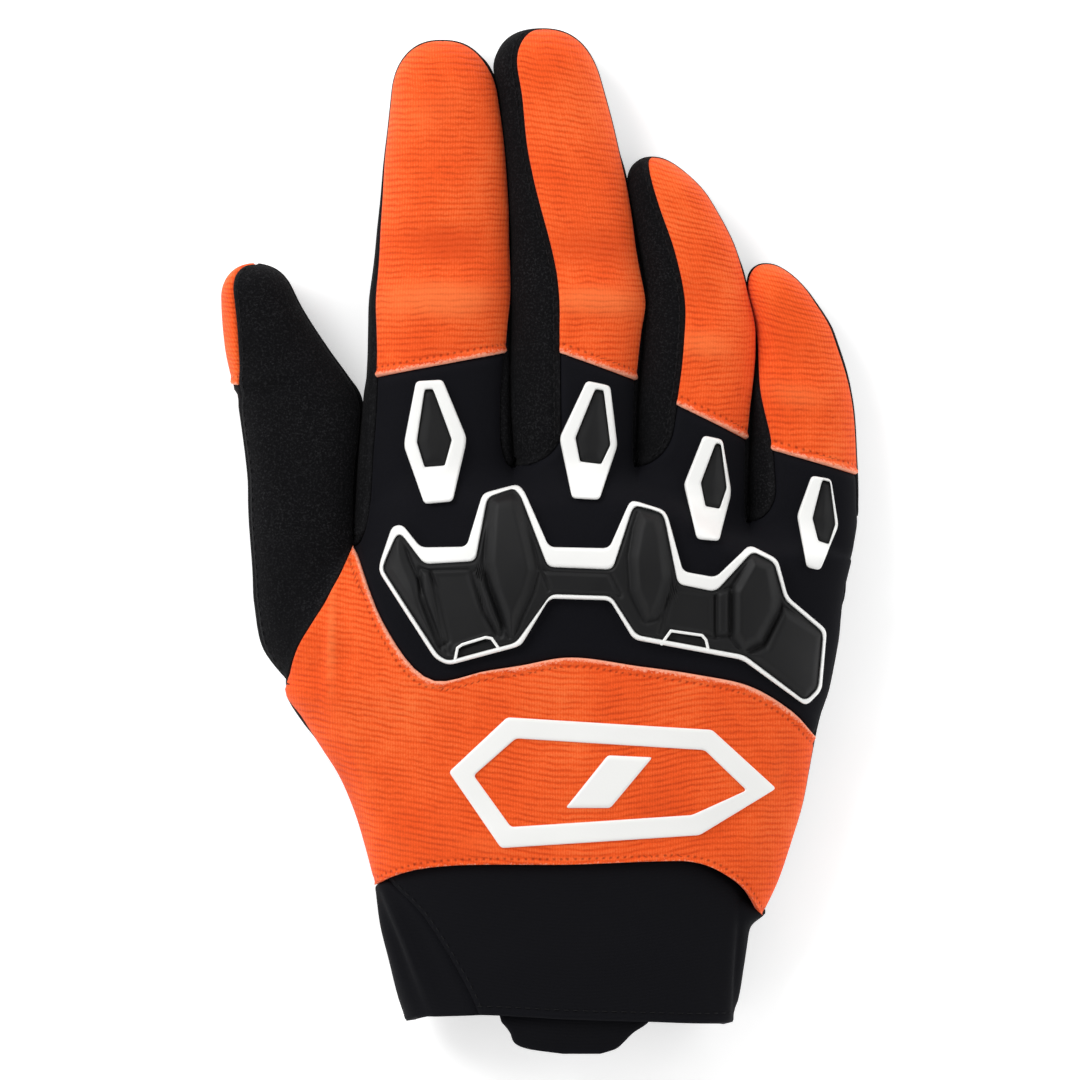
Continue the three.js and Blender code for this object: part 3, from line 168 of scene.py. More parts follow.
def ease(t):
    """Smooth step from 0 to 1."""
    t = np.clip(t, 0, 1)
    return t * t * (3 - 2 * t)


def soft_min(a, b, r):
    """The lesser of two fields with a fillet of size r."""
    return np.minimum(a, b) - np.maximum(r - np.abs(a - b), 0) ** 2 / (4 * r)


def soft_max(a, b, r):
    """The greater of two fields with a fillet of size r."""
    return -soft_min(-a, -b, r)


def follow(table, name, at, key="at"):
    """One column of a table read through a cubic whose slopes are those of the neighbours."""
    x, v = table[key], table[name]
    n = len(x)
    i = np.searchsorted(x[1:n - 1], at, side="left")
    lo, hi = np.maximum(np.arange(n) - 1, 0), np.minimum(np.arange(n) + 1, n - 1)
    slope = (v[hi] - v[lo]) / (x[hi] - x[lo])
    span = x[i + 1] - x[i]
    t = np.clip((at - x[i]) / span, 0, 1)
    bend = t * (1 - t) * span
    return mix(v[i], v[i + 1], t * t * (3 - 2 * t)) + bend * (
        (1 - t) * slope[i] - t * slope[i + 1])


def swell(x, z, y, wide, high, end):
    """Distance-like field of a superelliptic tube: the root of its terms, less one, scaled by
    how steep it is."""
    u, v, w = np.abs(x) / wide, np.abs(z) / high, np.maximum(y, 0) / end
    q = (u ** ROUND + v ** ROUND + w ** ROUND) ** (1 / ROUND) + 1e-6
    p = ROUND - 1
    steep = np.sqrt((u ** p / wide) ** 2 + (v ** p / high) ** 2 + (w ** p / end) ** 2)
    return (q - 1) * q ** p / (steep + 1e-6)


def reach(y):
    return (y - HAND_LENGTH) / REACH


def along(at):
    return HAND_LENGTH + REACH * at


def slot_x(s, y):
    """The line between two fingers."""
    return PITCH * follow(SLOTS, "s%d" % s, reach(y))


def hand_centre(y):
    return PITCH * HAND_LEAN * y / HAND_LENGTH


def hand_high(y):
    return (HAND_THICK * follow(HAND, "top", y / HAND_LENGTH) + HAND_SINK) / 2


def hand_wide(dx, y):
    return 2 * PITCH * np.where(dx < 0, follow(HAND, "left", y / HAND_LENGTH),
                                follow(HAND, "right", y / HAND_LENGTH))


def hand(x, y, z):
    """The hand's own tube, ended by the webs between the fingers."""
    dx = x - hand_centre(y)
    high = hand_high(y)
    a, b = PITCH * SLOTS["s2"][4], PITCH * SLOTS["s3"][4]
    drop = WEB_DROP * ease((x - a) / (b - a))
    past = y - (HAND_LENGTH - WEB_FILL - drop - FINGER_BLEND)
    return swell(dx, z - high + HAND_SINK, past, hand_wide(dx, y), high, FINGER_BLEND)


def finger_section(k, y):
    """Centre, half width, half height and level of a finger at y."""
    f = FINGERS[k]
    left, right = slot_x(k, y) + FINGER_GAP / 2, slot_x(k + 1, y) - FINGER_GAP / 2
    u = np.clip((reach(y) - f["root"]) / (f["tip"] - f["root"]), 0, 1)
    high = (FINGER_THICK * f["tall"] * mix(1, TIP_THIN, u) + FINGER_SINK) / 2
    return (left + right) / 2, (right - left) / 2, high, high - FINGER_SINK


def finger(k, x, y, z):
    """One finger's tube with both ends rounded."""
    f = FINGERS[k]
    centre, half, high, level = finger_section(k, y)
    cap = f["round"] * PITCH
    past = y - along(f["tip"]) + cap
    tail = (along(f["root"]) - 16 - y) * cap / 12
    return swell(x - centre, z - level, np.maximum(past, tail), half, high, cap)


START_LINE = THUMB_START * HAND_LENGTH
WEB_LINE = THUMB_WEB * HAND_LENGTH
THUMB_TIP = START_LINE + THUMB_LENGTH
THUMB_CAP = THUMB_ROUND * THUMB_WIDTH


def thumb_section(y):
    t = (y - START_LINE) / THUMB_LENGTH
    offset = THUMB_WIDTH * follow(THUMB, "offset", t)
    half = THUMB_WIDTH * follow(THUMB, "half", t)
    over = np.maximum(offset + half + FINGER_GAP / 2, 0) * ease((y - WEB_LINE) / 3)
    high = (THUMB_THICK * mix(1, TIP_THIN, np.clip(t, 0, 1)) + FINGER_SINK) / 2
    return slot_x(0, y) + offset - over / 2, half - over / 2, high, high - FINGER_SINK


def thumb(x, y, z):
    centre, half, high, level = thumb_section(y)
    past = y - THUMB_TIP + THUMB_CAP
    tail = (START_LINE + 12 - y) * THUMB_CAP / 20
    return swell(x - centre, z - level, np.maximum(past, tail), half, high, THUMB_CAP)


def body(k):
    """The hand with finger k and the thumb, blended where they meet and flat on the floor."""
    def field(x, y, z):
        dx = x - hand_centre(y)
        outer = 1 - ease((np.abs(dx) / hand_wide(dx, y) - 0.78) / 0.2)
        f = soft_min(hand(x, y, z), finger(k, x, y, z), 0.01 + FINGER_BLEND * outer)
        blend = 0.01 + THUMB_BLEND * ease((y - START_LINE) / 15) * (
            1 - ease((y - WEB_LINE + 17) / 17))
        f = np.where(y < WEB_LINE, soft_min(f, thumb(x, y, z), blend), f)
        return soft_max(f, -z, FLOOR_BLEND)
    return field


BODIES = [body(k) for k in range(4)]


def thumb_body(x, y, z):
    free = soft_max(thumb(x, y, z), -z, FLOOR_BLEND)
    return np.where(y < WEB_LINE, BODIES[0](x, y, z), free)


def whole_hand(x, y, z):
    """All four bodies together."""
    return np.minimum.reduce([f(x, y, z) for f in BODIES])


def cuff_body(x, y, z):
    t = -y / CUFF_LENGTH
    left, right = PITCH * follow(CUFF, "left", t), PITCH * follow(CUFF, "right", t)
    high = (CUFF_THICK * follow(CUFF, "top", t) + HAND_SINK) / 2
    f = swell(x - (left + right) / 2, z - high + HAND_SINK, 0 * y, (right - left) / 2, high, 1)
    return soft_max(f, -z, FLOOR_BLEND)


def cross(f, inside, outside):
    """Halves the span between inside and outside until it lies on the surface."""
    a, b = np.broadcast_arrays(np.asarray(inside, float), np.asarray(outside, float))
    for _ in range(24):
        m = (a + b) / 2
        within = f(m) < 0
        a, b = np.where(within, m, a), np.where(within, b, m)
    return (a + b) / 2


def depth(field, x, y):
    """The height at which the field is lowest over a point of the plan."""
    levels = np.arange(0.8, 24, 1.6)
    values = np.stack([field(x, y, 0 * x + z) for z in levels])
    return levels[np.argmin(values, axis=0)]


def lift(field, x, y, face):
    """The point of the surface over or under a point of the plan."""
    x, y = np.broadcast_arrays(np.asarray(x, float), np.asarray(y, float))
    end = 60.0 if face == "top" else -1.0
    z = cross(lambda h: field(x, y, h), depth(field, x, y), end)
    return np.stack([x, y, np.where(np.abs(z) < 1e-3, 0, z)], axis=-1)


def slope_of(field, p):
    """The field's gradient by central differences."""
    h = 0.03
    steps = np.eye(3) * h
    return np.stack([field(*np.moveaxis(p + s, -1, 0)) - field(*np.moveaxis(p - s, -1, 0))
                     for s in steps], axis=-1) / (2 * h)


def settle(field, p):
    """Moves points along the gradient until they lie on the surface."""
    for _ in range(10):
        g = slope_of(field, p)
        value = field(*np.moveaxis(p, -1, 0))
        step = np.clip(value / ((g * g).sum(-1) + 1e-4), -2, 2)
        p = p - g * step[..., None]
    return p


def side_x(field, y, start, end, z):
    return cross(lambda x: field(x, y, z), start, end)


def side_point(y, side):
    """The hand's outermost point at y, lower beside the little finger's root."""
    y = np.asarray(y, float)
    z = hand_high(y) - HAND_SINK
    if side > 0:
        z = mix(z, 8.5, ease((y - 70) / 14))
    x = side_x(whole_hand, y, hand_centre(y), side * 2.6 * PITCH + 0 * y, z)
    return np.stack([x, y, z], axis=-1)


class Web:
    """The gap between two fingers: where it ends, over, under and between them."""

    def __init__(self, s):
        fields = [BODIES[0]] if s == 0 else [BODIES[s - 1], BODIES[s]]
        self.s = s
        self.field = lambda x, y, z: np.minimum.reduce([f(x, y, z) for f in fields])
        root = along(FINGERS[s]["root"])
        self.start = WEB_LINE - 12 if s == 0 else root - 12
        level = finger_section(s, np.array(root))[3]
        self.y = float(self.deep(level)) - (THUMB_RISE if s == 0 else WEB_RISE)
        x = float(slot_x(s, np.array(self.y)))
        self.ends = {face: lift(self.field, x, self.y, face) for face in ("top", "palm")}

    def deep(self, z):
        return cross(lambda y: self.field(slot_x(self.s, y), y, z), self.start + 0 * z,
                     self.start + 26)

    def line(self, t):
        z = mix(self.ends["top"][2], self.ends["palm"][2], t)
        inner = (t > 1e-6) & (t < 1 - 1e-6)
        y = np.where(inner, self.deep(z), self.y)
        return np.stack([slot_x(self.s, y), y, z], axis=-1)


WEBS = [Web(s) for s in range(4)]
LITTLE_ROOT = along(FINGERS[3]["root"])


def lay(p, keep, value):
    """Copy of points p with value where keep holds."""
    return np.where(keep[..., None], value, p)


def rim(k, side, face, row):
    """Edge of a back or palm panel of finger k. Rows under zero lie on the hand, the last
    ones turn round the tip on a quarter of a superellipse."""
    row = np.asarray(row, float)
    f = FINGERS[k]
    s = k if side < 0 else k + 1
    field, outer = BODIES[k], s == 4
    cap = f["round"] * PITCH
    cap_y = along(f["tip"]) - cap
    web_y = LITTLE_ROOT if outer else WEBS[s].y
    root_y = along(f["root"]) if s == 0 else web_y
    seam_y = along(f["seam"][0 if side < 0 else 1])
    up = np.clip(1 + row / KNUCKLE_ROWS, 0, 1)
    y = np.where(row <= ROOT_ROWS,
                 mix(root_y, seam_y, (np.clip(row, 0, None) / ROOT_ROWS) ** ROOT_CROWD),
                 mix(seam_y, cap_y, (row - ROOT_ROWS) / FINGER_ROWS))
    low = mix(web_y, root_y, up ** ROOT_CROWD) if s == 0 else mix(
        RIGHT_END * HAND_LENGTH, root_y, up)
    y = np.where(row < 0, low, y)
    turn = np.clip((row - FINGER_END) / TIP_ROWS, 0, 1) * math.pi / 2
    end = TIP_INSET if face == "top" else PALM_INSET
    at_tip = row > FINGER_END
    y = np.where(at_tip, cap_y + cap * (1 - end) * np.sin(turn) ** (2 / ROUND), y)
    u = np.clip((reach(y) - f["root"]) / (f["tip"] - f["root"]), 0, 1)
    column = ("left%d" if side < 0 else "right%d") % k
    full = follow(INSETS, column, u) if face == "top" else PALM_INSET
    open_ = np.clip((y - web_y) / (14 if s == 0 else 8), 0, 1)
    inset = full * np.sqrt(1 - (1 - open_) ** 2)
    centre, half, _, level = finger_section(k, y)
    apart = side * FINGER_GAP / 2 * np.clip((y - web_y) / 4, 0, 1)
    limit = slot_x(s, y) + 4 if outer else slot_x(s, y) - apart
    x = mix(side_x(field, y, centre, limit, level), centre, inset)
    tip_x = centre + side * half * np.clip(np.cos(turn), 0, 1) ** (2 / ROUND) * (1 - inset)
    x = np.where(at_tip, np.where(row >= FINGER_END + TIP_ROWS - 1e-9, centre, tip_x), x)
    p = lift(field, x, y, face)
    if outer:
        # Beside the little finger the side line rises to the hand's own side
        first = side_point(np.where(row <= 0, y, root_y), 1)
        p = lay(p, row <= 0, first)
        if (np.abs(row - 0.5) < 0.5).any():
            nxt = rim(k, side, face, np.array([1.0]))[0]
            t = np.clip(row, 0, 1)[..., None]
            p = lay(p, (row > 0) & (row < 1), settle(field, mix(side_point(root_y, 1), nxt, t)))
    if s == 0:
        p = lay(p, row <= -KNUCKLE_ROWS, WEBS[0].ends[face])
    if 0 < s < 4:
        p = lay(p, np.abs(row) < 1e-9, WEBS[s].ends[face])
    return p


def crowd(n):
    """Even steps from 0 to 1 that crowd at both ends as a cosine does."""
    return (1 - np.cos(np.pi * np.arange(n + 1) / n)) / 2


def spread(stops, counts):
    """Rows from stop to stop, each stretch cut into its own count."""
    parts = [np.linspace(a, b, n, endpoint=False) for a, b, n in zip(stops, stops[1:], counts)]
    return np.append(np.concatenate(parts), stops[-1])


def between(field, left, right, t, face):
    """Rows of points between two rims, lifted to the surface; the rims themselves stay."""
    x = mix(left[:, None, 0], right[:, None, 0], t)
    y = mix(left[:, None, 1], right[:, None, 1], t)
    p = lift(field, x, y, face)
    p[:, 0], p[:, -1] = left, right
    return p


def finger_panel(k, face, rows, t):
    return between(BODIES[k], rim(k, -1, face, rows), rim(k, 1, face, rows), t, face)


def band(field, top_of, palm_of, out_of, rows, t, first=None):
    """A band round a side: coarse rows pushed outwards and settled on the surface, then the
    rows between them blended, moved to meet both rims, and settled again."""
    whole = np.arange(math.floor(rows[0]), math.ceil(rows[-1]) + 1)
    tops, palms, out = top_of(whole), palm_of(whole), out_of(whole)
    gap = np.linalg.norm(tops - palms, axis=-1)[:, None, None]
    tt = t[None, :, None]
    start = mix(tops[:, None], palms[:, None], tt) + out[:, None] * 0.3 * gap * np.sin(
        np.pi * tt)
    coarse = settle(field, start)
    if first is not None:
        coarse[0] = first
    coarse[:, 0], coarse[:, -1] = tops, palms
    i = np.clip(np.floor(rows - whole[0]).astype(int), 0, len(whole) - 2)
    f = (rows - whole[0] - i)[:, None, None]
    p = mix(coarse[i], coarse[i + 1], f)
    top, palm = top_of(rows), palm_of(rows)
    p = p + (1 - tt) * (top[:, None] - p[:, :1]) + tt * (palm[:, None] - p[:, -1:])
    p[:, 1:-1] = settle(field, p[:, 1:-1])
    if first is not None:
        p[0] = first
    p[:, 0], p[:, -1] = top, palm
    return p


def outwards(side, rows, end):
    turn = np.clip((rows - end) / TIP_ROWS, 0, 1) * math.pi / 2
    return np.stack([side * np.cos(turn), np.sin(turn), 0 * turn], axis=-1)


def finger_band(k, side, rows, t):
    s = k if side < 0 else k + 1
    first = WEBS[s].line(t) if s < 4 else None
    return band(BODIES[k], lambda r: rim(k, side, "top", r), lambda r: rim(k, side, "palm", r),
                lambda r: outwards(side, r, FINGER_END), rows, t, first)


CORNER_LEFT = side_point(START_LINE, -1)


def hand_left(row, face):
    """Left edge of the hand's panels: side line, thumb seam, then the index finger's rim."""
    row = np.asarray(row, float)
    wrist_y = WRIST_SEAM["y"][0] * HAND_LENGTH
    low = side_point(mix(wrist_y, START_LINE, np.clip(row / SIDE_ROWS, 0, 1)), -1)
    t = np.clip((row - SIDE_ROWS) / (HAND_ROWS - SIDE_ROWS), 0, 1)
    table, end = THUMB_SEAMS[face], WEBS[0].ends[face]

    def off(name, size):
        v = table[name]
        return size * (follow(table, name, t, "along") - mix(v[0], v[-1], t))
    seam = lift(BODIES[0], mix(CORNER_LEFT[0], end[0], t) + off("x", PITCH),
                mix(CORNER_LEFT[1], end[1], t) + off("y", HAND_LENGTH), face)
    high = rim(0, -1, face, np.maximum(row - HAND_ROWS, 0) - KNUCKLE_ROWS)
    return lay(lay(seam, row <= SIDE_ROWS, low), row >= HAND_ROWS, high)


def hand_right(row, face):
    row = np.asarray(row, float)
    wrist_y = WRIST_SEAM["y"][-1]
    low = side_point(HAND_LENGTH * mix(wrist_y, RIGHT_END, np.clip(row / HAND_ROWS, 0, 1)), 1)
    high = rim(3, 1, face, np.maximum(row - HAND_ROWS, 0) - KNUCKLE_ROWS)
    return lay(low, row >= HAND_ROWS, high)


def swing(table, s, name, size):
    """A seam's swing away from the straight line between its ends."""
    v = table[name]
    return size * (follow(table, name, s, "along") - mix(v[0], v[-1], s / 4))


def hand_panel(face, rows, n, field=whole_hand):
    """Rows across the hand from the wrist seam through the knuckle seam to the webs."""
    s = np.concatenate([k + crowd(n)[:-1] for k in range(4)] + [[4.0]])[None]
    left, right = hand_left(rows, face), hand_right(rows, face)
    r = rows[:, None]
    low = np.clip(1 - r / HAND_ROWS, 0, 1)
    up = np.clip((r - HAND_ROWS) / KNUCKLE_ROWS, 0, 1)
    knuckle = np.where(r <= HAND_ROWS, r / HAND_ROWS, 1 - up)
    zero = np.array([0.0])
    ends = [(rim(k, -1, face, zero)[0], rim(k, 1, face, zero)[0]) for k in range(4)]
    p = []
    for axis, (name, size) in enumerate((("x", PITCH), ("y", HAND_LENGTH))):
        v = mix(left[:, axis][:, None], right[:, axis][:, None], s / 4)
        v = v + low * swing(WRIST_SEAM, s, name, size) + knuckle * swing(
            KNUCKLE_SEAM, s, name, size)
        k = np.minimum(s.astype(int), 3)
        a = np.array([e[0][axis] for e in ends])[k]
        b = np.array([e[1][axis] for e in ends])[k]
        web = mix(a, b, s - k) - mix(ends[0][0][axis], ends[3][1][axis], s / 4)
        p.append(v + up * web)
    p = lift(field, p[0], p[1], face)
    p[:, 0], p[:, -1] = left, right
    if rows[-1] >= HAND_ROWS + KNUCKLE_ROWS:
        for j in (1, 2, 3):
            p[-1, j * n] = WEBS[j].ends[face]
    return p


THUMB_SEAM_ROW = HAND_ROWS - SIDE_ROWS + ROOT_ROWS + 1
THUMB_END = THUMB_SEAM_ROW + FINGER_ROWS


def thumb_rim(side, face, row):
    """Edge of the thumb's panels, counted from the corner where the thumb starts."""
    row = np.asarray(row, float)
    below = HAND_ROWS - SIDE_ROWS
    cap_y = THUMB_TIP - THUMB_CAP
    seam_y = START_LINE + THUMB_SEAM * THUMB_LENGTH
    web_y = WEBS[0].y
    y = np.where(row <= THUMB_SEAM_ROW,
                 mix(web_y, seam_y, (row - below) / (THUMB_SEAM_ROW - below)),
                 mix(seam_y, cap_y, (row - THUMB_SEAM_ROW) / FINGER_ROWS))
    y = np.where(row < below, mix(START_LINE, web_y, row / below), y)
    turn = np.clip((row - THUMB_END) / TIP_ROWS, 0, 1) * math.pi / 2
    end = TIP_INSET if face == "top" else PALM_INSET
    at_tip = row > THUMB_END
    y = np.where(at_tip, cap_y + THUMB_CAP * (1 - end) * np.sin(turn) ** (2 / ROUND), y)
    t = (y - START_LINE) / THUMB_LENGTH
    open_ = np.clip((y - (START_LINE if side < 0 else web_y)) / 12, 0, 1)
    back = follow(THUMB, "edge", t) if side < 0 else 0.04
    inset = (back if face == "top" else PALM_INSET) * np.sqrt(1 - (1 - open_) ** 2)
    centre, half, _, level = thumb_section(y)
    apart = FINGER_GAP / 2 * np.clip((y - web_y) / 4, 0, 1)
    limit = slot_x(0, y) - apart if side > 0 else -3.6 * PITCH + 0 * y
    x = mix(side_x(thumb_body, y, centre, limit, level), centre, inset)
    tip_x = centre + side * half * np.clip(np.cos(turn), 0, 1) ** (2 / ROUND) * (1 - inset)
    x = np.where(at_tip, np.where(row >= THUMB_END + TIP_ROWS - 1e-9, centre, tip_x), x)
    p = lift(thumb_body, x, y, face)
    if side > 0:
        p = lay(p, row <= below, hand_left(SIDE_ROWS + np.clip(row, 0, below), face))
    return lay(p, row <= 1e-9, CORNER_LEFT)


def thumb_panel(face, rows, t):
    return between(thumb_body, thumb_rim(-1, face, rows), thumb_rim(1, face, rows), t, face)


def thumb_band(side, rows, t):
    first = WEBS[0].line(t) if side > 0 else None
    return band(thumb_body, lambda r: thumb_rim(side, "top", r),
                lambda r: thumb_rim(side, "palm", r),
                lambda r: outwards(side, r, THUMB_END), rows, t, first)


CUFF_ROWS = 4


def cuff_level(y):
    return (CUFF_THICK * follow(CUFF, "top", -y / CUFF_LENGTH) + HAND_SINK) / 2 - HAND_SINK


def cuff_side(row, side):
    wrist = (hand_left if side < 0 else hand_right)(np.zeros(1), "top")[0]
    hem = HEM["y"][0 if side < 0 else -1] * CUFF_LENGTH
    y = mix(wrist[1] - CUFF_GAP, hem, np.asarray(row, float) / CUFF_ROWS)
    z = cuff_level(y)
    return np.stack([side_x(cuff_body, y, 0 * y, side * 2 * PITCH + 0 * y, z), y, z], axis=-1)


def cuff_point(row, s, face):
    """A point of the cuff: row from the wrist seam to the hem, s across in finger columns."""
    row, s = np.broadcast_arrays(np.asarray(row, float), np.asarray(s, float))
    t = row / CUFF_ROWS
    left, right = cuff_side(row, -1), cuff_side(row, 1)
    x = mix(left[..., 0], right[..., 0], s / 4) + (1 - t) * swing(WRIST_SEAM, s, "x", PITCH)
    y = mix(left[..., 1], right[..., 1], s / 4) + (1 - t) * swing(
        WRIST_SEAM, s, "y", HAND_LENGTH) + t * swing(HEM, s, "y", CUFF_LENGTH)
    p = lift(cuff_body, x, y, face)
    return lay(lay(p, s <= 1e-9, left), s >= 4 - 1e-9, right)


def cuff_panel(face, rows, n):
    if face == "palm":
        return cuff_point(rows[:, None], 4 * crowd(n)[None], face)
    start = follow(GUSSET, "along", rows / CUFF_ROWS)[:, None]
    t = np.sin(np.pi / 2 * np.arange(n + 1) / n)[None]
    return cuff_point(rows[:, None], mix(start, 4.0, t), face)


def cuff_gusset(rows, t):
    start = follow(GUSSET, "along", rows / CUFF_ROWS)
    back = cuff_point(rows, start, "top")
    side = cuff_side(rows, -1)
    out = np.array([-1, 0, 0.6])
    gap = np.linalg.norm(back - side, axis=-1)[:, None, None]
    tt = t[None, :, None]
    p = settle(cuff_body, mix(back[:, None], side[:, None], tt) + out * 0.3 * gap * np.sin(
        np.pi * tt))
    p[0] = cuff_point(0 * t, follow(GUSSET, "along", np.zeros(1)) * (1 - t) ** 2, "top")
    p[:, 0], p[:, -1] = back, side
    return p


# From points and faces to meshes

TAB_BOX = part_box("pull_tab")
SEAM_HALF = 0.175
SHIFT = np.array([TAB_BOX[0][0] * 1000 - (TAB["left"][0] * PITCH + SEAM_HALF),
                  TAB_BOX[0][1] * 1000 - (-CUFF_LENGTH * TAB_START - TAB_LENGTH + SEAM_HALF), 0])


# Millimetres that a cloth edge swells towards a neighbour it presses on
FULL = 0.34
# A wave texture of this scale has one band in a unit of its coordinates
BAND_SCALE = 0.31416
# The slot that each material belongs to
CLOTH_SLOTS = {"rib_knit_orange": "orange_knit", "smooth_knit_black": "black_knit",
               "brushed_suede": "suede", "jersey_neoprene": "neoprene",
               "moulded_rubber": "guard_rubber", "moulded_white": "white_rubber"}
# Millimetres in one pixel of the photograph
PHOTO_MM = 0.23
# The row where the webs between the fingers lie
WEB_ROW = 11


def grid_faces(rows, cols, start=0):
    """Four-cornered faces of a grid whose points run row by row."""
    i, j = np.meshgrid(np.arange(rows - 1), np.arange(cols - 1), indexing="ij")
    a = (start + i * cols + j).ravel()
    return np.stack([a, a + 1, a + cols + 1, a + cols], axis=1)


def weld(points, faces, size=0.004):
    """Points that lie together become one, and faces lose the corners that fall together."""
    first, back = np.unique(np.round(points / size).astype(np.int64), axis=0,
                            return_index=True, return_inverse=True)[1:]
    faces = back.reshape(-1)[faces]
    same = faces == np.roll(faces, -1, axis=1)
    count = same.sum(axis=1)
    quads = faces[count == 0]
    short = faces[count == 1]
    spin = np.argmax(same[count == 1], axis=1)[:, None]
    tris = np.take_along_axis(short, (spin + np.arange(1, 4)) % 4, axis=1)
    return points[first], quads, tris, first


def vertex_normals(points, quads, tris):
    """Every face's own area vector summed at its corners."""
    n = np.zeros_like(points)
    q = points[quads]
    vector = np.cross(q[:, 2] - q[:, 0], q[:, 3] - q[:, 1])
    for c in range(4):
        np.add.at(n, quads[:, c], vector)
    if len(tris):
        t = points[tris]
        vector = np.cross(t[:, 1] - t[:, 0], t[:, 2] - t[:, 0])
        for c in range(3):
            np.add.at(n, tris[:, c], vector)
    return unit(n)


def border(quads, tris):
    """Directed edges that only one face uses."""
    edges = [quads[:, [c, (c + 1) % 4]] for c in range(4)]
    edges += [tris[:, [c, (c + 1) % 3]] for c in range(3)] if len(tris) else []
    edges = np.concatenate(edges)
    size = edges.max() + 1
    code = edges[:, 0] * size + edges[:, 1]
    back = edges[:, 1] * size + edges[:, 0]
    return edges[~np.isin(code, back)]


def dome(t):
    """Quarter circle from 0 to 1, steep at first and level at the end."""
    return np.sqrt(np.clip(1 - (1 - np.clip(t, 0, 1)) ** 2, 0, 1))


def unit(v):
    """Vectors cut or drawn out to length 1."""
    return v / (np.linalg.norm(v, axis=-1, keepdims=True) + 1e-9)


def run_of(line):
    """The length along a line up to each of its points."""
    steps = np.linalg.norm(np.diff(line, axis=0), axis=1)
    return np.concatenate([[0], np.cumsum(steps)])


def walk(line, s):
    """The points of a line at the lengths s along it."""
    run = run_of(line)
    return np.stack([np.interp(s, run, line[:, c]) for c in range(line.shape[1])], axis=1)


def nearest(points, line):
    """Distance from each point to a line of points, and how far along that line it falls."""
    run, block = run_of(line), 2000
    far, at = np.empty(len(points)), np.empty(len(points))
    for lo in range(0, len(points), block):
        part = points[lo:lo + block, None] - line[None]
        d = np.einsum("ijk,ijk->ij", part, part)
        i = d.argmin(axis=1)
        far[lo:lo + block] = np.sqrt(d[np.arange(len(i)), i])
        at[lo:lo + block] = run[i]
    return far, at


def facing(points, quads, tris, outward):
    """The faces, turned round where they look against the outward vectors."""
    if (outward * vertex_normals(points, quads, tris)).sum() < 0:
        return quads[:, ::-1], tris[:, ::-1]
    return quads, tris


def closed(quads, tris, edges, n):
    """Faces of a shell: the outer face, its copy n points on and turned round, and the strip
    that joins their edges."""
    sides = np.stack([edges[:, 1], edges[:, 0], edges[:, 0] + n, edges[:, 1] + n], axis=1)
    quads = np.concatenate([quads, quads[:, ::-1] + n, sides])
    return quads, np.concatenate([tris, tris[:, ::-1] + n]) if len(tris) else tris


def add_mesh(name, points, quads, tris, cloth, nodes=(), fields=None, slot=None):
    """Puts points in millimetres and faces into a new object that rides on the glove, made of the
    material called cloth. Its slot is looked up but not used."""
    mesh = bpy.data.meshes.new(name)
    faces = quads.tolist() + (tris.tolist() if len(tris) else [])
    mesh.from_pydata(((points + SHIFT) * 0.001).tolist(), [], faces)
    mesh.polygons.foreach_set("use_smooth", np.ones(len(mesh.polygons), bool))
    for key, value in (fields or {}).items():
        kind, part = ("FLOAT_VECTOR", "vector") if value.ndim == 2 else ("FLOAT", "value")
        attribute = mesh.attributes.new(key, kind, "POINT")
        attribute.data.foreach_set(part, np.ascontiguousarray(value, dtype=np.float32).ravel())
    mesh.materials.append(look(cloth))
    mesh.update()
    obj = bpy.data.objects.new(name, mesh)
    bpy.context.scene.collection.objects.link(obj)
    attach(obj, BODY)
    slot or CLOTH_SLOTS[cloth]
    if nodes:
        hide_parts(*nodes)


def photo_mm(points):
    """Places read off the photograph, to millimetres from the wrist's middle."""
    p = np.array(points, float)
    return np.stack([p[:, 0] - 562, 885 - p[:, 1]], axis=1) * PHOTO_MM


# Relief shared by all panels: soft folds that run over the seams
FOLDS = columns(
    "x y angle length width height",
    [331, 640, 88, 15, 1.3, 1.1], [322, 640, 86, 15, 2.2, -0.5], [345, 800, 112, 16, 5, -0.8],
    [362, 770, 108, 18, 3, 0.5], [440, 300, 2, 13, 5, 1.1], [440, 245, 0, 13, 6, -0.7],
    [440, 350, 3, 12, 4, -0.4], [595, 302, -3, 10, 4, 1.1], [588, 250, -3, 10, 6, -0.7],
    [700, 345, -14, 9, 4, 0.8], [690, 290, -14, 9, 5, -0.5], [795, 395, -12, 8, 4, 0.7],
    [790, 350, -12, 9, 5, -0.4], [262, 392, 10, 8, 1.6, -0.8], [265, 378, 10, 8, 2.0, 0.6],
    [285, 470, 104, 14, 2.0, -0.5], [300, 560, 104, 16, 2.5, 0.5],
    [398, 950, 112, 15, 1.4, -1.3], [408, 950, 112, 15, 1.7, 1.0], [421, 948, 118, 14, 1.2, -0.9],
    [736, 965, 87, 15, 0.8, -0.7], [727, 965, 87, 14, 1.6, 0.3], [560, 960, 3, 30, 6, 0.5],
    [640, 830, 4, 30, 6, -0.4], [500, 840, 0, 26, 4, 0.4], [430, 110, 0, 10, 7, 0.4],
    [765, 800, 70, 14, 3, 0.5])


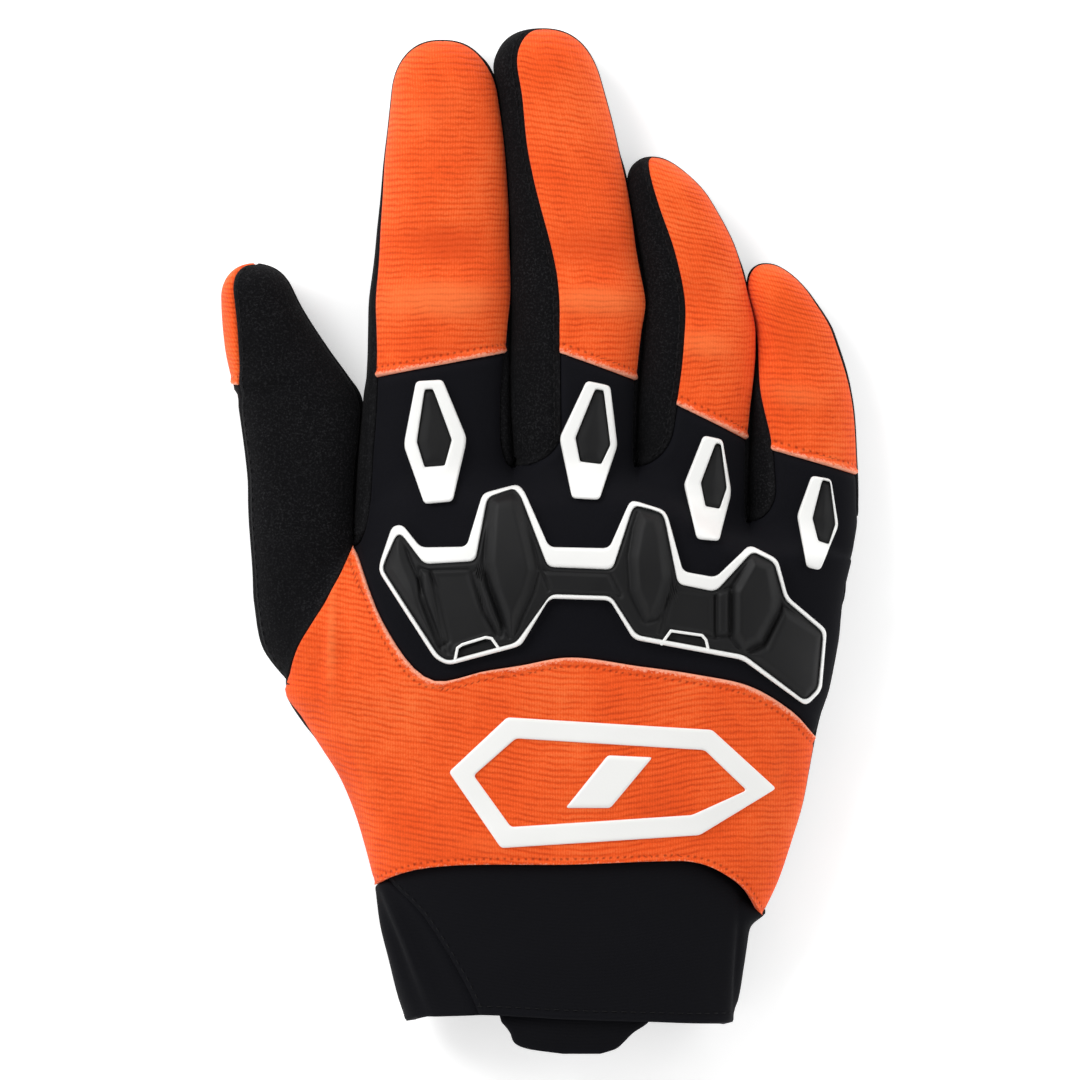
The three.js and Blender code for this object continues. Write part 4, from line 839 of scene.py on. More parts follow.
def relief(p):
    """Sum of long bell-shaped folds, each one turned to its own angle."""
    centre = photo_mm(np.stack([FOLDS["x"], FOLDS["y"]], axis=1))
    turn = np.radians(FOLDS["angle"])
    dx, dy = p[:, None, 0] - centre[:, 0], p[:, None, 1] - centre[:, 1]
    u = (dx * np.cos(turn) + dy * np.sin(turn)) / FOLDS["length"]
    v = (dy * np.cos(turn) - dx * np.sin(turn)) / FOLDS["width"]
    waves = 0.10 * np.sin(0.31 * p[:, 0] + 0.9 * np.sin(0.13 * p[:, 1])) * np.sin(0.23 * p[:, 1])
    h = (FOLDS["height"] * np.exp(-u * u - v * v)).sum(axis=1) + waves
    return h * np.clip((p[:, 2] - 2) / 5, 0, 1)


LIPS = {
    "turned": columns("far rise", [0, -0.35], [0.2, 0.05], [0.5, 0.32], [0.9, 0.3], [1.4, 0.05],
                      [2.1, -0.12], [3, 0]),
    "plain": columns("far rise", [0, -0.3], [0.25, 0.02], [0.7, 0.14], [1.8, 0.06], [3.2, 0]),
    "under": columns("far rise", [0, -0.75], [0.5, -0.4], [1.3, -0.05], [2.2, 0.08], [3.6, 0])}


def weave_of(p, k=None):
    """Cloth coordinates in millimetres: across and along. On a finger they follow its centre
    line, on the hand the ribs sag a little to the right."""
    if k is None:
        lean = -0.16 * (1 - ease((p[:, 0] + 10) / 50))
        return p[:, 0], p[:, 1] - lean * (p[:, 0] + 30)
    y = np.linspace(HAND_LENGTH - 20, along(1.02), 200)
    centre = finger_section(k, y)[0] if k < 4 else thumb_section(y)[0]
    run = run_of(np.stack([centre, y], axis=1))
    dx = p[:, 0] - np.interp(p[:, 1], y, centre)
    lean = np.interp(p[:, 1], y, np.gradient(centre, y))
    return dx, np.interp(p[:, 1], y, run) - dx * lean * 0.8


def close_to(k):
    """How near the other fingers lie to points of finger k, the thumb being 4: 1 up to 1 mm,
    0 from 4 mm."""
    def share(p):
        all_five = [finger(j, *p.T) for j in range(4)] + [thumb(*p.T)]
        others = np.minimum.reduce([f for j, f in enumerate(all_five) if j != k])
        return 1 - ease((others - 1) / 3)
    return share


def under_thumb(p):
    """The hand's left side just below the thumb's end."""
    return ease((-50 - p[:, 0]) / 6) * np.exp(-((p[:, 1] - 38.5) / 4) ** 2)


def palm_sides(p):
    """Where the palm shows past the orange: right of the wrist, and under the thumb's end."""
    right = 0.9 * ease((p[:, 0] - 30) / 8) * (1 - ease((p[:, 1] - 52) / 14))
    return right + 1.8 * under_thumb(p)


def panel(name, node, patches, field, wall, cloth, lip="plain", hems=(), finger_k=None,
          full=None):
    """A sewn panel, a shell over grids of rows and columns. The grids are welded, each point is
    raised along the field's slope by the folds and by the lip, a profile of its distance to the
    edge, and the inner face lies one wall lower. Where full is 1 the cloth stands FULL prouder."""
    points, faces, start = [], [], 0
    for patch in patches:
        faces.append(grid_faces(*patch.shape[:2], start))
        points.append(patch.reshape(-1, 3))
        start += len(points[-1])
    pts, quads, tris, _ = weld(np.concatenate(points), np.concatenate(faces))
    normals = unit(slope_of(field, pts))
    quads, tris = facing(pts, quads, tris, normals)
    edges = border(quads, tris)
    far = nearest(pts, pts[edges[:, 0]])[0]
    base = LIPS["plain" if lip == "turned" else lip]
    rise = np.interp(far, base["far"], base["rise"])
    hem, run = np.full(len(pts), 99.0), np.zeros(len(pts))
    for line, inward in hems:
        d, s = nearest(pts, line)
        near = d + inward < hem
        hem, run = np.where(near, d + inward, hem), np.where(near, s, run)
    if lip == "turned":
        turned = np.interp(hem, LIPS["turned"]["far"], LIPS["turned"]["rise"])
        rise = np.where(hem < 4, mix(turned, rise, ease((hem - far - 0.6) / 1.5)), rise)
    if full:
        rise = rise + FULL * full(pts) * ease((far - 0.3) / 1.3)
    fold = relief(pts)
    outer = pts + normals * (rise + fold)[:, None]
    inner = pts - normals * (wall - fold)[:, None]
    outer[:, 2] = np.maximum(outer[:, 2], 0)
    inner[:, 2] = np.maximum(inner[:, 2], 0.4)
    quads, tris = closed(quads, tris, edges, len(pts))
    weave = np.stack([*weave_of(pts, finger_k), far], axis=1)
    fields = {"weave": (weave, weave), "hem": (hem, hem + 90), "run": (run, run),
              "fold": (fold, fold)}
    add_mesh(name, np.concatenate([outer, inner]), quads, tris, cloth, [node],
             {key: np.concatenate(pair) for key, pair in fields.items()})


# Materials

def linear(code):
    """An sRGB hex colour as linear red, green, blue and alpha."""
    v = np.array([int(code[i:i + 2], 16) for i in (1, 3, 5)]) / 255
    v = np.where(v <= 0.04045, v / 12.92, ((v + 0.055) / 1.055) ** 2.4)
    return (*v.tolist(), 1.0)


def add(tree, kind, *inputs, **settings):
    """Adds a node. Inputs fill its sockets in order, and a setting is a property of the node, a
    socket by its name or, as _6, one by its number. Outputs are linked, and a node given as a
    value stands for its first output."""
    node = tree.nodes.new("ShaderNode" + kind)
    sockets = list(enumerate(inputs))
    for key, value in settings.items():
        if key[0] == "_":
            sockets.append((int(key[1:]), value))
        elif key[0].isupper():
            sockets.append((key.replace("_", " "), value))
        else:
            setattr(node, key, value)
    for key, value in sockets:
        value = value.outputs[0] if hasattr(value, "outputs") else value
        if hasattr(value, "is_linked"):
            tree.links.new(value, node.inputs[key])
        else:
            node.inputs[key].default_value = value
    return node


def new_material(name):
    """An empty material with its node tree, and the object's place in it in millimetres."""
    material = bpy.data.materials.new(name)
    material.use_nodes = True
    tree = material.node_tree
    tree.nodes.clear()
    place = add(tree, "VectorMath", add(tree, "TexCoord").outputs["Object"],
                operation="SCALE", Scale=1000.0)
    return material, tree, place


def weighted(tree, start, *terms):
    """A sum of outputs, each with its own weight, on top of a start."""
    for term, weight in terms:
        start = add(tree, "Math", term, weight, start, operation="MULTIPLY_ADD")
    return start


def knit_material(c):
    """Rib-knit polyester and elastane: thin dark valleys between the ribs cross the finger, their
    dark being painted shade, and fine wales run along it. The crests of the folds are painted
    paler in broad soft patches, a painted highlight, and their troughs darker, a painted shade.
    The turned hem is a ragged pale line with needle holes beside it."""
    material, tree, place = new_material("rib_knit_orange")
    weave = add(tree, "Attribute", attribute_name="weave").outputs["Vector"]
    fold, hem, run = (add(tree, "Attribute", attribute_name=name).outputs["Fac"]
                      for name in ("fold", "hem", "run"))
    # Real ribs stand about 1 mm apart and wales 0.4 mm: these are as coarse as it takes to show
    ribs, wales = (add(tree, "TexWave", weave, bands_direction=way, Scale=BAND_SCALE / pitch,
                       Distortion=bend, Detail=fine, Detail_Scale=size).outputs["Fac"]
                   for way, pitch, bend, fine, size in (("Y", 1.4, 3.0, 2.0, 0.7),
                                                        ("X", 0.6, 1.2, 1.0, 1.4)))
    drift = add(tree, "TexNoise", weave, Scale=0.22, Detail=3.0)
    fuzz = add(tree, "TexNoise", place, Scale=2.2, Detail=5.0, Roughness=0.75)
    broad = add(tree, "TexNoise", place, Scale=0.05, Detail=2.0)
    specks = add(tree, "TexNoise", place, Scale=1.5, Detail=3.0, Roughness=0.8)
    # Valleys deepen and fade in drifts; the dark they give the colour is painted shade between the
    # ribs
    between_ribs = add(tree, "Math", weighted(tree, 1.0, (ribs, -1.0)), 2.2, operation="POWER")
    valley = add(tree, "Math", between_ribs, add(tree, "MapRange", drift, 0.3, 0.62, 0.25, 1.0),
                 operation="MULTIPLY")
    ramp = add(tree, "ValToRGB", weighted(
        tree, -0.1, (valley, -0.36), (wales, 0.14), (fuzz, 0.7), (broad, 0.6)))
    stops = ramp.color_ramp.elements
    stops.new(0.55)
    for stop, at, colour in zip(stops, (0.1, 0.55, 0.95), (c.knit_dark, c.knit, c.knit_light)):
        stop.position, stop.color = at, colour
    # Needle holes in a row 2.1 mm from the hem, 1.6 mm from one to the next
    off_row = add(tree, "Math", weighted(tree, -2.1, (hem, 1.0)), operation="ABSOLUTE")
    beat = add(tree, "Math", weighted(tree, 0.0, (run, 2 * math.pi / 1.6)), operation="SINE",
               use_clamp=True)
    hole = add(tree, "Math", beat, add(tree, "MapRange", off_row, 0.0, 0.45, 1.0, 0.0),
               operation="MULTIPLY")
    # Painted highlight on the crests of the folds and painted shade in their troughs, then the
    # brushed hem, then the holes
    fold_highlight, fold_shade = (add(tree, "MapRange", fold, low, high, 0.0, most,
                         interpolation_type="SMOOTHSTEP")
                     for low, high, most in ((0.1, 1.0, 0.55), (-0.1, -0.8, 0.5)))
    brushed = add(tree, "MapRange", weighted(tree, hem, (specks, 3.4)), 2.05, 2.8, 0.85, 0.0)
    shade = ramp
    for share, colour in ((fold_highlight, c.knit_light), (fold_shade, c.knit_dark), (brushed, c.knit_hem),
                          (weighted(tree, 0.0, (hole, 0.75)), c.knit_hole)):
        shade = add(tree, "Mix", share, _6=shade, _7=colour, data_type="RGBA").outputs[2]
    height = weighted(tree, 0.0, (valley, -0.9), (fuzz, 0.9), (wales, 0.25), (hole, -1.4))
    bump = add(tree, "Bump", Height=height, Strength=0.6, Distance=0.0003)
    add(tree, "OutputMaterial", add(
        tree, "BsdfPrincipled", Base_Color=shade, Normal=bump, Roughness=0.85,
        Specular_IOR_Level=0.15, Sheen_Weight=0.08, Sheen_Roughness=0.5))
    return material


def dark_cloth(name, base, pale, grain, amount, depth_mm, sheen, rough, rib=None):
    """A dark cloth whose colour and height come from two sizes of grain in millimetres, and ribs
    of their own pitch where it has them. It turns paler along its edges."""
    material, tree, place = new_material(name)
    weave = add(tree, "Attribute", attribute_name="weave").outputs["Vector"]
    edge = add(tree, "SeparateXYZ", weave).outputs["Z"]
    fine = add(tree, "TexNoise", place, Scale=1 / grain, Detail=3.0, Roughness=0.75)
    broad = add(tree, "TexNoise", place, Scale=0.06, Detail=3.0)
    fleck = add(tree, "MapRange", fine, 0.5, 0.78, 0.0, 1.0)
    factor = add(tree, "Math", fleck, weighted(tree, 0.0, (broad, 2 * amount)),
                 operation="MULTIPLY", use_clamp=True)
    height = fine
    if rib:
        lines = add(tree, "TexWave", weave, bands_direction="Y", Scale=BAND_SCALE / rib,
                    Distortion=1.0, Detail=1.0, Detail_Scale=1.0).outputs["Fac"]
        height = weighted(tree, fine, (lines, 0.5))
        factor = weighted(tree, factor, (lines, 0.08))
    # Pale flecks grow within 1.8 mm of the panel's edge
    edge_pale = add(tree, "MapRange", edge, 0.5, 1.8, 0.25, 0.0)
    factor = add(tree, "Math", edge_pale, fine, factor, operation="MULTIPLY_ADD", use_clamp=True)
    shade = add(tree, "Mix", factor, _6=base, _7=linear(pale), data_type="RGBA").outputs[2]
    bump = add(tree, "Bump", Height=height, Strength=0.6, Distance=depth_mm / 1000)
    add(tree, "OutputMaterial", add(
        tree, "BsdfPrincipled", Base_Color=shade, Normal=bump, Roughness=rough,
        Specular_IOR_Level=0.1, Sheen_Weight=sheen, Sheen_Roughness=0.4))
    return material


def moulded(name, base, pale, rough, grain=0.5, level=0.5):
    """Injection-moulded rubber: an even satin face with a fine eroded grain and broad, faint
    patches of another tone and gloss."""
    material, tree, place = new_material(name)
    fine = add(tree, "TexNoise", place, Scale=1 / grain, Detail=2.0)
    broad = add(tree, "TexNoise", place, Scale=0.09, Detail=3.0)
    shade = add(tree, "Mix", weighted(tree, 0.0, (broad, 0.6)), _6=base, _7=linear(pale),
                data_type="RGBA").outputs[2]
    gloss = add(tree, "MapRange", broad, 0.3, 0.7, rough - 0.06, rough + 0.06)
    bump = add(tree, "Bump", Height=fine, Strength=0.35, Distance=0.00004)
    add(tree, "OutputMaterial", add(
        tree, "BsdfPrincipled", Base_Color=shade, Normal=bump, Roughness=gloss, IOR=1.5,
        Specular_IOR_Level=level))
    return material


# Sizes and colours a user would change

def length(name, words, value):
    """A length, given in millimetres and kept in metres."""
    return bpy.props.FloatProperty(name=name, description=words, default=value / 1000, min=0,
                                   soft_max=0.01, precision=4, unit="LENGTH",
                                   subtype="DISTANCE")


def tint(name, words, code):
    """A colour, given as an sRGB hex code and kept linear."""
    return bpy.props.FloatVectorProperty(name=name, description=words, size=4, min=0, max=1,
                                         default=linear(code), subtype="COLOR")


class GloveSizes(bpy.types.PropertyGroup):
    knit_wall: length("Knit", "Thickness of the orange knit", 1.2)
    black_wall: length("Knuckle panel", "Thickness of the black knit", 1.8)
    suede_wall: length("Suede", "Thickness of the suede", 1.2)
    cuff_wall: length("Cuff", "Thickness of the neoprene", 2.4)
    tab_wall: length("Tab", "Thickness of the pull tab", 1.8)
    guard_height: length("Guard", "Height of the guard's base over the cloth", 1.6)
    trim_height: length("Trim", "Height of the white line round the guard", 2.0)
    pad_height: length("Pads", "Height of the finger pads", 1.7)
    print_height: length("Print", "Height of the print on the back", 0.5)
    stitch_pitch: length("Stitch", "Length from one stitch to the next", 2.2)


class GloveColours(bpy.types.PropertyGroup):
    knit: tint("Knit", "Orange of the rib knit", "#F0571C")
    # Knit shade is the painted shade in the rib valleys and the folds' troughs; knit light is also
    # the painted highlight on the folds' crests
    knit_dark: tint("Knit shade", "Valleys between the ribs", "#CE400F")
    knit_light: tint("Knit light", "Crests of the ribs", "#FA7E42")
    knit_hem: tint("Hem", "Brushed edge of the turned hem", "#FFB294")
    knit_hole: tint("Needle holes", "Holes beside the hem", "#8E2406")
    black: tint("Black knit", "Knuckle panel", "#0A0A0F")
    suede: tint("Suede", "Palm, thumb and finger sides", "#08080A")
    neoprene: tint("Neoprene", "Cuff", "#0A0A0E")
    rubber: tint("Rubber", "Guard and pad inserts", "#121213")
    white: tint("White", "Trim, pad frames and print", "#F1F1EF")


def values(group, scale=1):
    """A property group's values under their own names, colours as plain tuples."""
    keys = type(group).__annotations__
    found = {key: getattr(group, key) for key in keys}
    return SimpleNamespace(**{key: v * scale if isinstance(v, float) else tuple(v)
                              for key, v in found.items()})


def sizes():
    """The sizes in millimetres, as the shapes here are worked out in them."""
    return values(bpy.context.scene.glove_sizes, 1000)


def look(name):
    """The finished materials, each one made once."""
    c = values(bpy.context.scene.glove_colours)
    makers = {
        "rib_knit_orange": lambda: knit_material(c),
        # Warp-knitted nylon, smooth face: almost no grain, a faint cool sheen
        "smooth_knit_black": lambda: dark_cloth(name, c.black, "#16171F", 0.35, 0.25, 0.05,
                                                0.01, 0.85),
        # Brushed microfibre suede: a dense nap that breaks into pale specks
        "brushed_suede": lambda: dark_cloth(name, c.suede, "#343436", 0.5, 0.6, 0.3, 0.02,
                                            0.95),
        # Neoprene foam faced with jersey: soft, even, with a slight sheen along the folds
        "jersey_neoprene": lambda: dark_cloth(name, c.neoprene, "#15161C", 0.3, 0.25, 0.05,
                                              0.01, 0.85, 0.8),
        # Black thermoplastic rubber, moulded: dull, so its bevels show as soft bands
        "moulded_rubber": lambda: moulded(name, c.rubber, "#161617", 0.6, level=0.24),
        # White thermoplastic rubber, moulded: bright and even, with a satin edge
        "moulded_white": lambda: moulded(name, c.white, "#E9E9E6", 0.45),
        # Bonded polyester thread: round, twisted, slightly glossy
        "thread_black": lambda: moulded(name, linear("#08080A"), "#121215", 0.7, 0.2, 0.2)}
    return bpy.data.materials.get(name) or makers[name]()


# Rows that crowd where a panel's edges roll
FINGER_T = crowd(26)
BAND_T = np.linspace(0, 1, 13)
BACK_ROWS = spread([ROOT_ROWS, 3.18, FINGER_END, FINGER_END + TIP_ROWS], [10, 60, 28])
SIDE_ROWS_FINE = spread([0, ROOT_ROWS, FINGER_END, FINGER_END + TIP_ROWS], [24, 60, 28])


def to_fingers(face, rows, finger_rows, t):
    """The hand's patch and, welded to its last row, the patches of the four fingers."""
    n = len(t) - 1
    base = hand_panel(face, rows, n)
    parts = [base]
    for k in range(4):
        p = finger_panel(k, face, finger_rows, t)
        p[0] = base[-1, k * n:(k + 1) * n + 1]
        parts.append(p)
    return parts


class GLOVE_OT_knit(bpy.types.Operator):
    """Orange rib knit: back of the hand, four finger backs and the thumb's side"""
    bl_idname = "glove.knit"
    bl_label = "Orange knit"

    def execute(self, context):
        wall, cloth = sizes().knit_wall, "rib_knit_orange"
        p = hand_panel("top", spread([0, 0.4, 6.6, HAND_ROWS], [8, 62, 8]), 26)
        panel("knit_back", "hand_back", [p], whole_hand, wall, cloth, "turned",
              [(p[-1], 0), (p[0], 0.9)], full=lambda p: -0.8 * under_thumb(p))
        for k, f in enumerate(FINGERS):
            p = finger_panel(k, "top", BACK_ROWS, FINGER_T)
            panel("knit_" + f["name"], "finger_back_" + f["name"], [p], BODIES[k], wall, cloth,
                  "turned", [(p[0], 0)], k, close_to(k))
        p = thumb_band(-1, spread([THUMB_SEAM_ROW, THUMB_END, THUMB_END + TIP_ROWS], [40, 28]),
                       BAND_T)
        panel("knit_thumb", "thumb_back", [p], thumb_body, wall, cloth, "turned",
              [(p[0], 0.3)], 4)
        return {"FINISHED"}


class GLOVE_OT_knuckles(bpy.types.Operator):
    """Smooth black knit over the knuckles and the finger roots"""
    bl_idname = "glove.knuckles"
    bl_label = "Knuckle panel"

    def execute(self, context):
        parts = to_fingers("top", spread([HAND_ROWS, 7.35, WEB_ROW], [6, 40]),
                           spread([0, 2.6, ROOT_ROWS], [22, 6]), FINGER_T)
        panel("knit_knuckles", "knuckle_panel", parts, whole_hand, sizes().black_wall,
              "smooth_knit_black", "under")
        return {"FINISHED"}


def web_fold(name, top, cloth):
    """Seam allowance folded into the web between two fingers: an upright lens, each ring of
    it a circle stretched by radius, height and the angle round it."""
    rings, around = 15, 25
    a, b = np.meshgrid(np.linspace(0, 2 * np.pi, around), np.linspace(0, np.pi, rings))
    p = np.stack([0.9 * np.sin(b) * np.cos(a), 3.2 * np.sin(b) * np.sin(a), 5 * np.cos(b)],
                 axis=-1) + top + np.array([0, 1.4, -5.6])
    p[:, -1] = p[:, 0]
    pts, quads, tris, _ = weld(p.reshape(-1, 3), grid_faces(rings, around))
    add_mesh(name, pts, *facing(pts, quads, tris, pts - pts.mean(axis=0)), cloth)


class GLOVE_OT_suede(bpy.types.Operator):
    """Brushed suede: palm, the bands round the fingers and the thumb"""
    bl_idname = "glove.suede"
    bl_label = "Suede"

    def execute(self, context):
        wall, nap = sizes().suede_wall, "brushed_suede"
        parts = to_fingers("palm", spread([0, WEB_ROW], [80]),
                           spread([0, 3, 6, 10], [18, 40, 20]), crowd(16))
        panel("suede_palm", "palm", parts, whole_hand, wall, nap, full=palm_sides)
        for k, f in enumerate(FINGERS):
            rows = SIDE_ROWS_FINE if k else np.append(
                spread([-KNUCKLE_ROWS, 0], [20])[:-1], SIDE_ROWS_FINE)
            parts = [finger_band(k, -1, rows, BAND_T),
                     finger_band(k, 1, SIDE_ROWS_FINE, BAND_T)[:, ::-1]]
            panel("suede_" + f["name"], "sidewall_" + f["name"], parts, BODIES[k], wall, nap,
                  finger_k=k, full=close_to(k))
            if k < 3:
                web_fold("suede_fold_%d" % k, WEBS[k + 1].ends["top"], nap)
        rows = spread([0, 4, 8, THUMB_END, THUMB_END + TIP_ROWS], [28, 28, 36, 28])
        for part, p in (
                ("top", thumb_panel("top", rows, FINGER_T)),
                ("front", thumb_panel("palm", rows, crowd(18))),
                ("side", thumb_band(-1, spread([0, 8], [56]), BAND_T)),
                ("inner", thumb_band(1, spread([4, 8, 11, 15], [28, 36, 28]), BAND_T))):
            panel("suede_thumb_" + part, "thumb_" + part, [p], thumb_body, wall, nap,
                  finger_k=4, full=close_to(4))
        return {"FINISHED"}


def tab_patch(n, m):
    """The tab lies under the hem and droops past it along an eased curve."""
    t = np.linspace(0, 1, n + 1)[:, None]
    x = mix(PITCH * follow(TAB, "left", t), PITCH * follow(TAB, "right", t), crowd(m)[None])
    y = -CUFF_LENGTH * TAB_START - TAB_LENGTH * t + 0 * x
    under = lift(cuff_body, x, np.maximum(y, -CUFF_LENGTH * 1.08), "top")[..., 2] - 2.75
    return np.stack([x, y, under - TAB_DROOP * ease((t - 0.35) / 0.65)], axis=-1)


class GLOVE_OT_cuff(bpy.types.Operator):
    """Neoprene cuff with its gusset and the pull tab"""
    bl_idname = "glove.cuff"
    bl_label = "Cuff and tab"

    def execute(self, context):
        wall, foam = sizes().cuff_wall, "jersey_neoprene"
        rows = spread([0, 0.4, 3.5, CUFF_ROWS], [6, 30, 8])
        # Rows under zero are tucked below the orange
        tucked = np.append(np.linspace(-0.7, 0, 6, endpoint=False), rows)
        top = cuff_panel("top", tucked, 90)
        top[..., 2] -= 2.4 * ease(-tucked / 0.5)[:, None]
        # The heel of the palm shows as a small nub beside the wrist seam's right end
        heel = photo_mm([[738, 913]])[0]
        top[..., 0] += 3.4 * ease((top[..., 0] - heel[0] + 3) / 6) * np.exp(
            -((top[..., 1] - heel[1]) / 2.2) ** 2)
        for name, node, p in (("cuff_top", "cuff_back", top),
                              ("cuff_under", "cuff_front", cuff_panel("palm", rows, 60)),
                              ("cuff_side", "cuff_gusset", cuff_gusset(rows, BAND_T))):
            panel(name, node, [p], cuff_body, wall, foam)
        panel("cuff_tab", "pull_tab", [tab_patch(40, 40)], lambda x, y, z: z, sizes().tab_wall,
              foam)
        return {"FINISHED"}


# Guard: corners of the white line's outer and inner edge, in pairs
TRIM = columns(
    "ox oy ix iy",
    [391.6, 527.4, 395.9, 537], [402, 525.2, 401.5, 535.5], [420.2, 548.2, 424.1, 565.1],
    [466.1, 547.5, 475, 562], [482, 494.3, 487, 499], [516.2, 485.1, 512.8, 489.5],
    [523.1, 491.4, 519.8, 497.4], [548, 547.8, 547, 568], [607.8, 549, 611, 570.5],
    [627.5, 504, 630.6, 511], [632.5, 501.5, 635.3, 507], [661.3, 510.6, 658.5, 513.8],
    [666, 517, 662.5, 519], [681, 572, 676, 585], [713.5, 578, 713.3, 592.4],
    [747.6, 545.4, 750.4, 552.4], [775.5, 560, 771.8, 563.5], [785.7, 597.4, 782.2, 600.2],
    [825, 630.5, 820.8, 633], [820, 691, 815.8, 688.6], [804.3, 706.5, 803, 701],
    [740.2, 660, 742.3, 655], [631.9, 639.7, 635, 635], [608.4, 600.7, 609.7, 596.2],
    [548.4, 598.9, 550, 594.3], [521.3, 644, 517, 640], [516, 647.2, 512.5, 643.3],
    [448, 665.4, 447.8, 660.8], [434.4, 658.6, 438, 655.3], [378.7, 572.5, 383.3, 571.1],
    [379.6, 563, 384, 565])
# Plates of the guard: height in millimetres, width of the bevel, then the corners
PLATES = [
    (1.1, 2.4, [(395, 538), (400, 537), (408, 562), (417, 582), (425, 607), (438, 641),
                (439, 656), (384, 571)]),
    (0.6, 1.2, [(421, 571), (428, 573), (435, 590), (442, 624), (446, 641), (440, 645),
                (422, 597)]),
    (-0.45, 1.4, [(433, 573), (468, 572), (476, 597), (493, 635), (485, 637), (457, 647),
                 (449, 659), (440, 611)]),
    (0.9, 1.4, [(475, 573), (483, 576), (492, 600), (500, 624), (499, 635), (485, 612)]),
    (1.9, 2.8, [(489, 498), (513, 491), (519, 498), (530, 544), (536, 571), (530, 593),
                (518, 619), (511, 639), (504, 624), (490, 587), (485, 563), (487, 518)]),
    (0.3, 1.0, [(543, 573), (554, 573), (607, 575), (617, 595), (550, 591)]),
    (1.8, 2.8, [(638, 512), (658, 515), (664, 536), (669, 580), (662, 603), (654, 618),
                (644, 621), (630, 591), (628, 558), (633, 528)]),
    (-0.45, 1.4, [(676, 590), (711, 594), (712, 636), (701, 634), (669, 629), (659, 636),
                 (668, 599)]),
    (0.6, 1.2, [(715, 593), (728, 590), (728, 634), (715, 636)]),
    (1.6, 2.8, [(730, 591), (750, 556), (772, 564), (778, 599), (776, 614), (760, 643),
                (741, 651), (730, 636)]),
    (0.9, 2.2, [(781, 608), (821, 634), (816, 688), (804, 699), (747, 655), (763, 647)])]
SLITS = [[(454, 663), (457, 648), (462, 644.5), (485, 637.5), (491, 638.5), (500, 651)],
         [(659, 645), (669, 631), (700, 635.5), (704, 640), (707, 653)]]
PAD_SHAPES = {
    "index": ([(415.5, 382.5), (442, 381), (465.5, 438), (465, 446), (452, 502.5), (424, 505),
               (404, 449), (404, 442)],
              [(424, 391), (432.5, 390.5), (451, 441), (444, 466.5), (424, 468), (416.5, 443)]),
    "middle": ([(585.5, 382), (609, 387), (616, 444), (615.5, 449), (598, 501), (571, 499.5),
                (559, 442), (559.5, 437)],
               [(594, 390.5), (602.5, 392), (609, 446), (600, 465), (579, 462.5), (574.5, 439)]),
    "ring": ([(702, 436.5), (721, 440.5), (729.5, 490), (729, 498), (717, 542), (695, 540),
              (683, 488), (683, 484)],
             [(714, 444.5), (719.5, 445.5), (725, 489), (718, 509.5), (704, 507), (699.5, 484)]),
    "little": ([(810, 476.5), (829.5, 480), (836.5, 524), (836, 529), (818, 571), (804.5, 568),
                (796, 520), (796, 515)],
               [(820.5, 481), (828.5, 483), (833.5, 525), (827, 545), (816.5, 541.5),
                (811, 519)])}


def rounded(corners, radius, count=7):
    """A closed outline with each corner swung along a curve between its two sides."""
    p = np.array(corners, float)
    before, after = np.roll(p, 1, axis=0) - p, np.roll(p, -1, axis=0) - p
    la, lb = (np.linalg.norm(v, axis=1, keepdims=True) for v in (before, after))
    a, b = p + before * np.minimum(radius / la, 0.42), p + after * np.minimum(radius / lb, 0.42)
    t = np.linspace(0, 1, count)[None, :, None]
    curve = (1 - t) ** 2 * a[:, None] + 2 * t * (1 - t) * p[:, None] + t ** 2 * b[:, None]
    return curve.reshape(-1, 2)


def inside_by(x, y, corners):
    """Signed distance to a polygon, positive inside."""
    a = np.array(corners, float)
    b = np.roll(a, -1, axis=0)
    shape = x.shape
    px, py = x.reshape(-1, 1), y.reshape(-1, 1)
    ex, ey = b[:, 0] - a[:, 0], b[:, 1] - a[:, 1]
    t = np.clip(((px - a[:, 0]) * ex + (py - a[:, 1]) * ey) / (ex * ex + ey * ey), 0, 1)
    d = np.hypot(px - a[:, 0] - t * ex, py - a[:, 1] - t * ey).min(axis=1)
    crossing = ((a[:, 1] > py) != (b[:, 1] > py)) & (
        px < ex * (py - a[:, 1]) / np.where(ey == 0, 1e-9, ey) + a[:, 0])
    return np.where(crossing.sum(axis=1) % 2 == 1, d, -d).reshape(shape)


def solid_sheet(name, x, y, rise, drop, cloth, nodes=(), wrap=False):
    """A closed piece over a grid of places: its top stands rise over the cloth's own surface and
    its base lies drop under its top. A wrapped grid closes on itself along its rows."""
    top = lift(whole_hand, x, y, "top")
    top[..., 2] += relief(top.reshape(-1, 3)).reshape(x.shape) + rise
    base = top.copy()
    base[..., 2] -= drop
    rows, cols = x.shape
    faces = grid_faces(rows, cols)
    if wrap:
        j = np.arange(cols - 1)
        last = (rows - 1) * cols
        faces = np.concatenate([faces, np.stack([last + j, last + j + 1, j + 1, j], axis=1)])
    pts, quads, tris, first = weld(top.reshape(-1, 3), faces)
    quads, tris = facing(pts, quads, tris, np.array([0, 0, 1]))
    quads, tris = closed(quads, tris, border(quads, tris), len(pts))
    add_mesh(name, np.concatenate([pts, base.reshape(-1, 3)[first]]), quads, tris, cloth, nodes)


def dense(line, step):
    """A closed outline cut into even steps."""
    line = np.concatenate([line, line[:1]])
    whole = run_of(line)[-1]
    return walk(line, np.linspace(0, whole, int(whole / step), endpoint=False))


def ribbon(name, outer, inner, height, nodes=(), sink=-0.4):
    """A raised white line between two matched outlines, its section a flat crown with round
    sides."""
    both = dense(np.concatenate([outer, inner], axis=1), 0.45)
    u = crowd(10)[None, :, None]
    xy = mix(both[:, None, :2], both[:, None, 2:], u)
    wide = np.linalg.norm(both[:, :2] - both[:, 2:], axis=1)[:, None]
    rise = height * dome(np.minimum(u[..., 0], 1 - u[..., 0]) * wide / 0.35)
    solid_sheet(name, xy[..., 0], xy[..., 1], rise, rise - sink, "moulded_white", nodes, True)


